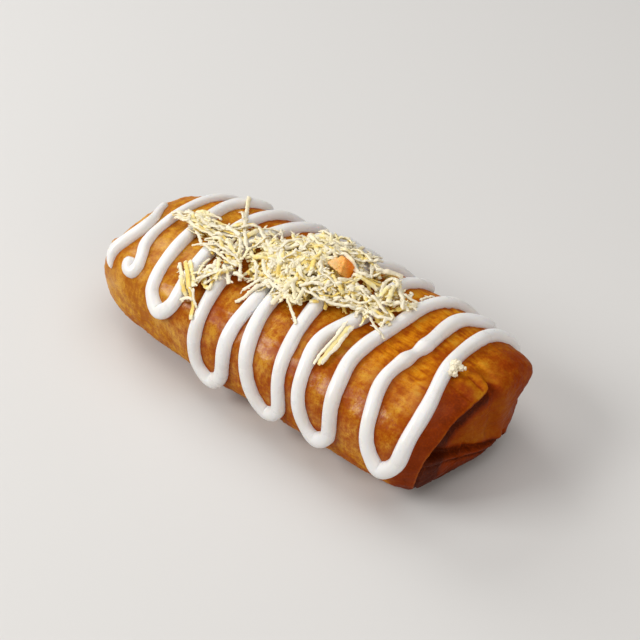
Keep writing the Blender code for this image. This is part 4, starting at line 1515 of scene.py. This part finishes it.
TUFT_STRANDS = (
    (0.95, 0.7, ((-40.5, -20.8), (-36.6, -23.5), (-33.0, -25.5), (-29.4, -27.5))),
    (1.2, 0.1, ((-38.1, -19.8), (-33.9, -22.5), (-29.7, -25.8), (-26.4, -28.5), (-23.7, -31.0),
                (-20.4, -36.0))),
    (1.1, 0.3, ((-35.4, -19.5), (-31.8, -22.0), (-28.2, -24.8), (-25.5, -27.2))),
    (1.1, 0.2, ((-33.0, -25.8), (-30.0, -28.2), (-27.0, -30.5))),
    (0.95, 0.9, ((-28.9, -32.5), (-25.8, -31.0), (-23.4, -30.5))),
    (0.8, 0.8, ((-24.9, -27.8), (-22.8, -30.5), (-20.4, -32.2))),
)


@dataclass
class Terrain:
    """Height of what lies on the skin so far, on a grid of places in millimetres."""

    low: tuple = (-70.0, -44.0)
    cell: float = 0.4
    shape: tuple = (325, 200)

    def __post_init__(self) -> None:
        """Start with the strands of cream."""
        self.heights = np.zeros(self.shape)
        for strand in (ROUTE.long_strand(), ROUTE.short_strand()):
            self.lay(strand, np.full(len(strand), ROUTE.height), ROUTE.half_width, True)

    def patch(self, place: np.ndarray, reach: float) -> tuple[tuple[slice, slice], np.ndarray]:
        """Cells near a place and their distances from it.

        Args:
            place: Place in the middle.
            reach: Distance to look at.

        Returns:
            The slices of the grid and the distances.
        """
        middle = (place - np.array(self.low)) / self.cell
        first = np.clip((middle - reach / self.cell).astype(int), 0, np.array(self.shape) - 1)
        last = np.clip((middle + reach / self.cell).astype(int) + 2, 1, np.array(self.shape))
        rows = np.arange(first[0], last[0])[:, None] - middle[0]
        columns = np.arange(first[1], last[1])[None, :] - middle[1]
        return (slice(first[0], last[0]), slice(first[1], last[1])), np.hypot(rows, columns) * self.cell

    def lay(self, places: np.ndarray, tops: np.ndarray, half: float, rounded: bool = False) -> None:
        """Raise the grid under a line to the line's top.

        Args:
            places: Places of the line.
            tops: Its top at each place.
            half: Half its width.
            rounded: Whether its top is round.
        """
        for place, top in zip(places, tops):
            cells, gaps = self.patch(place, half)
            crown = top * np.sqrt(np.clip(1.0 - (gaps / half) ** 2, 0.0, 1.0)) if rounded else top
            here = self.heights[cells]
            self.heights[cells] = np.where(gaps < half, np.maximum(here, crown), here)

    def under(self, places: np.ndarray, half: float) -> np.ndarray:
        """Highest point beneath each place of a line.

        Args:
            places: Places of the line.
            half: Half its width.

        Returns:
            The heights.
        """
        found = []
        for place in places:
            cells, gaps = self.patch(place, half)
            near = np.where(gaps < half, self.heights[cells], 0.0)
            found.append(float(near.max()) if near.size else 0.0)
        return np.array(found)


@dataclass
class HeapCore:
    """Low lumpy bed of pressed cheese under the loose shreds."""

    middle: tuple = (0.5, 1.8)
    half: tuple = (20.5, 10.0)
    tilt: float = 0.16
    height: float = 4.6
    rings: int = 60
    spokes: int = 150

    def top(self, share: np.ndarray, x: np.ndarray, reach: np.ndarray) -> np.ndarray:
        """Height over the skin.

        Args:
            share: Share of the way from the middle to the rim.
            x: Places along the roll.
            reach: Reaches from the ridge.

        Returns:
            One height for each place.
        """
        spots = [Vector((a, b, 0.0)) for a, b in zip(x.ravel(), reach.ravel())]
        deep = Vector((0.0, 0.0, 4.0))
        lumps = np.array([noise.noise(spot * 0.42) + 0.5 * noise.noise(spot * 1.1 + deep) for spot in spots])
        dome = self.height - 1.4 * share ** 2 + 0.9 * lumps.reshape(x.shape)
        return dome * np.sqrt(np.clip(1.0 - share ** 6, 0.0, 1.0)) - 0.6

    def build(self, material: Material, ground: Terrain) -> bpy.types.Object:
        """Make the bed and raise the ground by it.

        Args:
            material: Its surface.
            ground: Heights to raise.

        Returns:
            The finished piece.
        """
        share = np.sin(np.linspace(0.0, 0.5 * math.pi, self.rings + 1))[1:, None]
        turn = np.linspace(0.0, math.tau, self.spokes, endpoint=False)[None, :]
        ragged = 1.0 + 0.07 * np.sin(3.0 * turn + 1.0) + 0.05 * np.sin(7.0 * turn)
        across = self.half[0] * share * ragged * np.cos(turn)
        x = self.middle[0] + across
        reach = self.middle[1] + self.half[1] * share * ragged * np.sin(turn) + self.tilt * across
        lift = self.top(share + 0.0 * x, x, reach)
        ground.lay(np.stack((x.ravel(), reach.ravel()), axis=1), lift.ravel(), 0.6)
        x, reach = np.vstack((x, x[-1:])), np.vstack((reach, reach[-1:]))
        lift = np.vstack((lift, np.full((1, self.spokes), -1.6)))
        tips = [FORM.place(self.middle[:1], self.middle[1:], (tip,)) for tip in (self.height, -2.0)]
        points = np.vstack((tips[0], FORM.place(x, reach, lift).reshape(-1, 3), tips[1]))
        made = mesh_object("cheese_bed", points, closed_faces(self.rings + 1, self.spokes))
        # Low tones paint the bed yellower than the shreds on top, partly as shade deep in the heap.
        paint(made, "tone", np.array([0.14 + 0.5 * noise.noise(Vector(point) * 0.45) for point in points]))
        paint(made, "across", np.zeros(len(points)))
        return dress(made, material, Node.HEAP)


@dataclass
class CheeseShreds:
    """Grated cheese: measured strands and seeded ones, stacked on each other, with torn teeth."""

    seed: int = 7
    thickness: float = 0.66
    half_width: float = 0.74
    step: float = 0.45
    flake: tuple = (12.4, 5.8, 4.1)
    hollows: tuple = (
        (27.6, 9.4, 2.6), (-24.6, -3.4, 2.0), (-15.5, 9.0, 1.8), (46.0, 14.0, 4.0), (20.5, 7.0, 1.5),
    )
    zones: tuple = (
        (300, math.pi, 0.0, (
            (-33.0, 2.0), (-33.5, 9.0), (-27.0, 9.8), (-17.0, 9.5), (-11.0, 19.0), (-1.0, 25.0),
            (8.0, 25.0), (19.0, 19.0), (30.0, 19.5), (40.0, 12.0), (39.0, -1.0), (33.0, -5.0),
            (24.0, -6.0), (14.0, -11.5), (6.0, -16.0), (-5.0, -16.5), (-15.0, -10.5), (-28.0, -5.5),
        )),
        (225, math.pi, 0.0, (
            (-16.0, 4.0), (-8.0, 17.0), (2.0, 21.0), (12.0, 18.0), (19.0, 12.0), (20.0, -4.0),
            (10.0, -10.0), (0.0, -14.0), (-10.0, -11.0), (-18.0, -4.0),
        )),
        (64, 0.5, -0.15, (
            (-60.0, -0.8), (-52.0, 3.8), (-41.0, 3.0), (-32.5, 1.0), (-27.6, -6.0), (-19.0, -11.0),
            (-17.0, -15.5), (-23.0, -14.0), (-31.0, -12.0), (-39.0, -10.0), (-48.0, -6.0), (-57.0, -3.0),
        )),
        (18, math.pi, 0.0, (
            (-29.0, -22.0), (-28.0, -17.0), (-22.0, -15.0), (-19.5, -20.0), (-23.7, -24.0),
        )),
    )

    def __post_init__(self) -> None:
        """Set up the draw, the ground and the lists of lines."""
        self.draw = np.random.default_rng(self.seed)
        self.ground = Terrain()
        self.laid: list[tuple] = []

    @staticmethod
    def crown(route: np.ndarray) -> np.ndarray:
        """Greatest height of the heap over the skin at each place of a route.

        Args:
            route: (x, reach) rows.

        Returns:
            The heights.
        """
        x, reach = route.T
        main = np.hypot((x - 3.0) / 26.0, (reach - 3.5 - 0.2 * (x - 3.0)) / 13.0)
        right = np.hypot((x - 33.0) / 9.0, (reach - 10.0) / 9.0)
        lumps = 0.6 * np.sin(x * 0.75 + 1.0) * np.sin(reach * 0.9 + 0.5 * x)
        domes = 2.6 * np.clip(1.0 - main ** 2, 0.0, 1.0) + 1.6 * np.clip(1.0 - right ** 2, 0.0, 1.0)
        return 5.6 + domes + lumps

    def settle(self, route: np.ndarray, size: float, slope: float) -> np.ndarray:
        """Heights at which a limp strand comes to rest on the ground.

        Args:
            route: Places of the strand.
            size: Its width, as a share of the usual one.
            slope: Steepest bend it takes.

        Returns:
            The heights of its middle line over the skin.
        """
        under = self.ground.under(route, self.half_width * size)
        gaps = np.abs(np.arange(len(route))[:, None] - np.arange(len(route))[None, :]) * self.step
        rest = np.max(under[None, :] - gaps * slope, axis=1)
        smooth = np.convolve(np.pad(rest, 2, mode="edge"), (0.15, 0.22, 0.26, 0.22, 0.15), mode="valid")
        free = np.maximum(smooth, under) + self.thickness * 0.42 * size
        return np.minimum(free, self.crown(route) + slope * 1.6 - self.draw.uniform(0.7, 2.4))

    def drop(self, places: ArrayLike, size: float, tone: float, slope: float, lift: float = 0.0) -> None:
        """Lay one strand through the given places.

        Args:
            places: (x, reach) rows.
            size: Width as a share of the usual one.
            tone: How pale it is.
            slope: Steepest bend.
            lift: Extra height.
        """
        route = through(np.asarray(places), self.step)
        heights = self.settle(route, size, slope) + lift
        self.ground.lay(route, heights + self.thickness * 0.4 * size, self.half_width * size)
        self.laid.append((route, heights, size, tone))

    @staticmethod
    def inside(spot: np.ndarray, outline: tuple) -> bool:
        """Whether a place lies within a closed outline.

        Args:
            spot: The place.
            outline: Corners of the outline.

        Returns:
            True if it does.
        """
        crossings = 0
        for (x0, y0), (x1, y1) in zip(outline, outline[1:] + outline[:1]):
            spans = (y0 > spot[1]) != (y1 > spot[1])
            if spans and spot[0] < x0 + (spot[1] - y0) * (x1 - x0) / (y1 - y0):
                crossings += 1
        return crossings % 2 == 1

    def loose(self, zone: tuple) -> None:
        """Drop the seeded strands of one zone of the heap.

        Args:
            zone: Number of strands, spread of their ways, main way and outline.
        """
        count, spread, main_way, outline = zone
        corners = np.array(outline)
        for _strand in range(count):
            middle = self.draw.uniform(corners.min(axis=0), corners.max(axis=0))
            while not self.inside(middle, outline):
                middle = self.draw.uniform(corners.min(axis=0), corners.max(axis=0))
            way = main_way + self.draw.uniform(-spread, spread)
            length = 3.0 + 8.5 * self.draw.uniform(0.0, 1.0) ** 1.6
            bend = self.draw.normal(0.0, 0.09) * length
            along = np.array((math.cos(way), math.sin(way)))
            across = np.array((-along[1], along[0]))
            places = np.array([middle + along * length * part + across * bend * sag
                               for part, sag in ((-0.5, 0.0), (-0.17, 0.7), (0.17, 0.7), (0.5, 0.0))])
            blocked = [np.min(np.hypot(places[:, 0] - hole[0], places[:, 1] - hole[1])) < hole[2]
                       for hole in self.hollows + (self.flake,)]
            if not any(blocked):
                self.drop(places, self.draw.uniform(0.7, 1.25), self.draw.uniform(0.08, 1.0), 0.3)

    def lines(self) -> Lines:
        """Lines of all strands laid so far, deeper ones painted yellower as shade and torn ends paler, with
        teeth.

        Returns:
            The lines. The list of strands is empty afterwards.
        """
        lines = Lines()
        for route, heights, size, tone in self.laid:
            count = len(route)
            points = FORM.place(route[:, 0], route[:, 1], heights)
            normals = FORM.normals(route[:, 0], route[:, 1])
            part = np.linspace(0.0, 1.0, count)
            ends = np.minimum(part, 1.0 - part) * count * self.step
            width = size * (1.0 + 0.08 * np.sin(part * 9.0 + tone * 40.0))
            width = width * (0.78 + 0.22 * rise(ends, 0.0, 0.7))
            twist = self.draw.uniform(-0.6, 0.6) + self.draw.uniform(-0.5, 0.5) * part
            cover = self.ground.under(route, 0.5) - heights - self.thickness * 0.4
            # Painted shade: the more cheese lies over a strand, the lower its tone and the yellower it is
            # painted.
            shade = tone - 0.5 * np.clip(cover, 0.0, 3.0) + 0.35 * rise(ends, 2.4, 0.4)
            lines.add(points, normals, width, twist, shade)
            self.teeth(lines, points, normals, size, shade)
        self.laid = []
        return lines

    def teeth(self, lines: Lines, points: np.ndarray, normals: np.ndarray, size: float,
              shade: np.ndarray) -> None:
        """Add the short torn teeth of one strand.

        Args:
            lines: The lines to add to.
            points: Points of the strand.
            normals: Upward direction at each point.
            size: Its width, as a share of the usual one.
            shade: How pale it is at each point.
        """
        count = len(points)
        taper = np.array((0.62, 0.55, 0.47, 0.4, 0.28))
        for _tooth in range(self.draw.integers(1, 2 + count // 9)):
            start = int(self.draw.integers(1, max(count - 2, 2)))
            out = normals[start]
            along = points[min(start + 1, count - 1)] - points[start - 1]
            along = along / np.linalg.norm(along) * self.draw.choice((-1.0, 1.0))
            side = np.cross(along, out) * self.draw.choice((-1.0, 1.0))
            way = along * 0.75 + side * self.draw.uniform(0.45, 1.0) + out * self.draw.uniform(-0.1, 0.35)
            way = way / np.linalg.norm(way)
            length = self.draw.uniform(1.2, 2.4)
            spots = points[start] + way * np.linspace(0.0, length, len(taper))[:, None]
            lines.add(spots, np.tile(out, (len(taper), 1)), size * taper, 0.0, float(shade[start]) + 0.12)

    def sweep(self, name: str, sweep: Sweep, material: Material, node: Node) -> bpy.types.Object:
        """Turn the strands laid so far into one piece.

        Args:
            name: Name of the piece.
            sweep: The sweep along lines.
            material: Its surface.
            node: The solid that it replaces.

        Returns:
            The finished piece.
        """
        half = 0.5 * self.thickness * MM
        made = sweep.run(name, self.lines(), material, Half_Width=self.half_width * MM, Height=half,
                         Root=half, Squareness=0.5, Top_Squareness=0.6, Rough_Size=0.00022,
                         Rough_Scale=700.0, Tooth_Size=0.0014, Tooth_Scale=1300.0, Sides=6)
        return dress(made, material, node)

    def build(self, sweep: Sweep, material: Material) -> None:
        """Make the heap's loose shreds, the strand that arches behind the flake and the tuft.

        Args:
            sweep: The sweep along lines.
            material: Their surface.
        """
        for zone in self.zones:
            self.loose(zone)
        for size, tone, places in HEAP_STRANDS:
            self.drop(places, size, tone, 0.45)
        for size, tone, places in ARC_STRANDS:
            self.drop(places, size, tone, 0.3, 0.5)
        self.sweep("grated_shreds", sweep, material, Node.HEAP)
        for size, tone, places in TUFT_STRANDS:
            self.drop(places, size, tone, 0.45)
        self.sweep("tuft_shreds", sweep, material, Node.TUFT)


@dataclass
class CheeseStrip:
    """The broad torn strip that leans on the cream: a yellow middle between two pale rims."""

    places: tuple = ((31.9, -28.2), (31.9, -22.0), (31.5, -16.5), (31.2, -11.3))
    lifts: tuple = ((0.0, 1.7), (0.36, 2.0), (0.68, 2.4), (1.0, 3.1))
    rows: tuple = ((-1.25, 0.5, 0.8, 0.9), (0.0, 0.0, 1.25, 0.22), (1.2, 0.25, 0.75, 0.85))
    prong: tuple = ((30.4, -14.6), (29.6, -12.6), (29.9, -11.0))
    prong_lift: tuple = (3.0, 4.4)
    prong_size: tuple = (0.7, 0.45)
    prong_tone: float = 0.95
    step: float = 0.4

    def build(self, sweep: Sweep, material: Material) -> bpy.types.Object:
        """Make the strip.

        Args:
            sweep: The sweep along lines.
            material: Its surface.

        Returns:
            The finished piece.
        """
        lines = Lines()
        route = through(np.array(self.places), self.step)
        part = np.linspace(0.0, 1.0, len(route))
        lifts = np.interp(part, *np.array(self.lifts).T)
        ends = np.minimum(part, 1.0 - part) * len(route) * self.step
        taper = 0.55 + 0.45 * rise(ends, 0.0, 1.4)
        for shift, over, size, tone in self.rows:
            x = route[:, 0] + shift + 0.22 * np.sin(part * 9.0 + shift * 3.0)
            reach = route[:, 1] + shift * 0.5
            width = size * taper * (1.0 + 0.1 * np.sin(part * 14.0 + tone * 9.0))
            lines.add(FORM.place(x, reach, lifts + over), FORM.normals(x, reach), width, 0.35 * shift, tone)
        x, reach = through(np.array(self.prong), self.step).T
        heights = np.linspace(*self.prong_lift, len(x))
        width = np.linspace(*self.prong_size, len(x))
        lines.add(FORM.place(x, reach, heights), FORM.normals(x, reach), width, 0.0, self.prong_tone)
        made = sweep.run("torn_strip", lines, material, Half_Width=0.0009, Height=0.00055, Root=0.00055,
                         Squareness=0.7, Top_Squareness=0.7, Rough_Size=0.0005, Rough_Scale=620.0,
                         Tooth_Size=0.0009, Tooth_Scale=700.0, Sides=10)
        return dress(made, material, Node.STRIP)


@dataclass
class CrispFlake:
    """A blistered crisp of fried tortilla that stands in the cheese, a wedge with a sharp ridge."""

    place: tuple = (12.2, 6.0, 6.7)
    facets: tuple = (
        ((-0.69, 0.18, 0.69), 3.8), ((0.18, 0.80, 0.57), 3.4), ((0.86, 0.45, -0.26), 4.8),
        ((-0.17, -0.80, -0.58), 2.2), ((0.04, -0.73, 0.68), 2.0), ((0.92, -0.22, 0.33), 1.9),
        ((-0.50, 0.58, -0.65), 4.2),
    )
    sharpness: float = 9.0
    fineness: int = 6
    roughness: tuple = ((0.4, 1.7), (0.22, 4.2), (0.12, 10.0))
    # Direction from the flake's lit face to its shaded face, for the painted light and shade.
    lit_to_shaded_way: tuple = (0.76, 0.65, 0.0)

    def build(self, material: Material) -> bpy.types.Object:
        """Make the flake from a ball, cut by its facets and blistered.

        Args:
            material: Its surface.

        Returns:
            The finished piece.
        """
        unit, faces = ball(self.fineness)
        x, reach, lift = self.place
        centre = FORM.place((x,), (reach,), (lift,))[0]
        near = 0.0
        for way, depth in self.facets:
            toward = unit @ (np.array(way) / np.linalg.norm(way))
            near = near + (np.clip(toward, 0.0, None) / depth) ** self.sharpness
        size = near ** (-1.0 / self.sharpness)
        for deep, scale in self.roughness:
            size = size + deep * np.array([noise.noise(Vector(spot) * scale) for spot in unit])
        points = unit * size[:, None]
        made = mesh_object("crisp_chip", points + centre, faces)
        # Painted light and shade: the number falls towards the lit face and rises towards the shaded face.
        paint(made, "fried", 0.42 + 0.13 * (points @ np.array(self.lit_to_shaded_way)))
        return dress(made, material, Node.FLAKE)


@dataclass
class CreamCrumbs:
    """Small curds of cheese stuck to the last strand of cream."""

    curds: tuple = (
        (66.9, -1.0, 3.1, 1.75), (68.6, -0.6, 2.7, 1.1), (69.6, 0.1, 2.9, 0.65), (67.5, -3.0, 2.4, 1.35),
        (68.7, -3.8, 1.9, 0.95), (67.4, -4.8, 2.0, 1.0),
    )
    fineness: int = 4
    tone: float = 0.95
    across: float = 0.6

    def build(self, material: Material) -> bpy.types.Object:
        """Make the curds as one small piece.

        Args:
            material: Their surface.

        Returns:
            The finished piece.
        """
        unit, triangles = ball(self.fineness)
        points, faces = [], []
        for index, (x, reach, lift, radius) in enumerate(self.curds):
            shift = Vector((index * 3.0, 0.0, 0.0))
            lump = [1.0 + 0.35 * noise.noise(spot * 1.9 + shift) + 0.12 * noise.noise(spot * 5.0)
                    for spot in map(Vector, unit)]
            faces += [[corner + index * len(unit) for corner in face] for face in triangles]
            points.append(FORM.place((x,), (reach,), (lift,)) + unit * np.array(lump)[:, None] * radius)
        made = mesh_object("cream_curds", np.vstack(points), faces)
        for label, value in (("tone", self.tone), ("across", self.across)):
            paint(made, label, np.full(len(made.data.vertices), value))
        return dress(made, material, Node.ROLL)


@dataclass(frozen=True)
class Studio:
    """Pale floor, soft lights and the camera at the photograph's angle."""

    eye: tuple = (0.25533, -0.28647, 0.34688)
    target: tuple = (-0.00315, 0.01209, 0.01331)
    lens: float = 78.75
    sensor: float = 36.0
    sky: tuple = (1.0, 0.93, 0.87, 1.0)
    sky_strength: float = 0.15
    floor_colour: tuple = (0.645, 0.645, 0.64, 1.0)
    floor_size: float = 6.0
    lamps: tuple = (
        ("front_box", (-0.62, -0.72, 0.72), 0.55, 9.2, (1.0, 0.985, 0.96)),
        ("left_box", (-1.15, 0.3, 0.8), 0.8, 7.5, (1.0, 0.985, 0.965)),
        ("top_box", (0.15, 0.2, 1.3), 1.3, 8.1, (1.0, 0.985, 0.97)),
        ("right_fill", (0.95, -0.5, 0.5), 0.9, 3.8, (1.0, 0.92, 0.85)),
    )

    def build(self) -> None:
        """Place the camera, the floor, the lights and the world."""
        scene = bpy.context.scene
        scene.view_settings.view_transform = "Standard"
        data = bpy.data.cameras.new("camera")
        data.lens = self.lens
        data.sensor_width = self.sensor
        data.clip_start = 0.01
        scene.camera = self.aimed("camera", data, self.eye, self.target)
        self.floor()
        for name, place, size, power, colour in self.lamps:
            light = bpy.data.lights.new(name, "AREA")
            light.size = size
            light.energy = power
            light.color = colour
            self.aimed(name, light, place, (0.0, 0.0, 0.0))
        scene.world = bpy.data.worlds.new("studio")
        scene.world.use_nodes = True
        sky = scene.world.node_tree.nodes["Background"]
        sky.inputs["Color"].default_value = self.sky
        sky.inputs["Strength"].default_value = self.sky_strength

    def floor(self) -> None:
        """Plain pale floor."""
        bpy.ops.mesh.primitive_plane_add(size=self.floor_size, location=(0.0, 0.0, 0.0))
        plane = bpy.context.active_object
        plane.name = "floor"
        inputs = {"Base Color": self.floor_colour, "Roughness": 0.7, "Specular IOR Level": 0.1}
        plane.data.materials.append(Surface("floor_paint").shade(inputs))

    @staticmethod
    def aimed(name: str, data: bpy.types.ID, place: tuple, target: tuple) -> bpy.types.Object:
        """Place a camera or a light.

        Args:
            name: Its name.
            data: The camera or light.
            place: Where it stands.
            target: What it faces.

        Returns:
            The object.
        """
        made = linked(name, data)
        made.location = place
        made.rotation_euler = (Vector(target) - Vector(place)).to_track_quat("-Z", "Y").to_euler()
        return made


def main() -> None:
    """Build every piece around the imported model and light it."""
    logging.basicConfig(level=logging.INFO, format="%(message)s")
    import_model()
    Studio().build()
    speckle = speckle_group()
    sweep = Sweep("strand_sweep")
    TortillaRoll().build(TortillaFinish().build(speckle))
    PipedCream().build(sweep, CreamFinish().build(speckle))
    shreds = CheeseShreds()
    HeapCore().build(CheeseFinish(name="cheese_bed_curd").build(speckle), shreds.ground)
    cheese = CheeseFinish().build(speckle)
    shreds.build(sweep, cheese)
    CheeseStrip().build(sweep, cheese)
    CrispFlake().build(FlakeFinish().build(speckle))
    CreamCrumbs().build(cheese)
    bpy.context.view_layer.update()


if __name__ == "__main__":
    main()
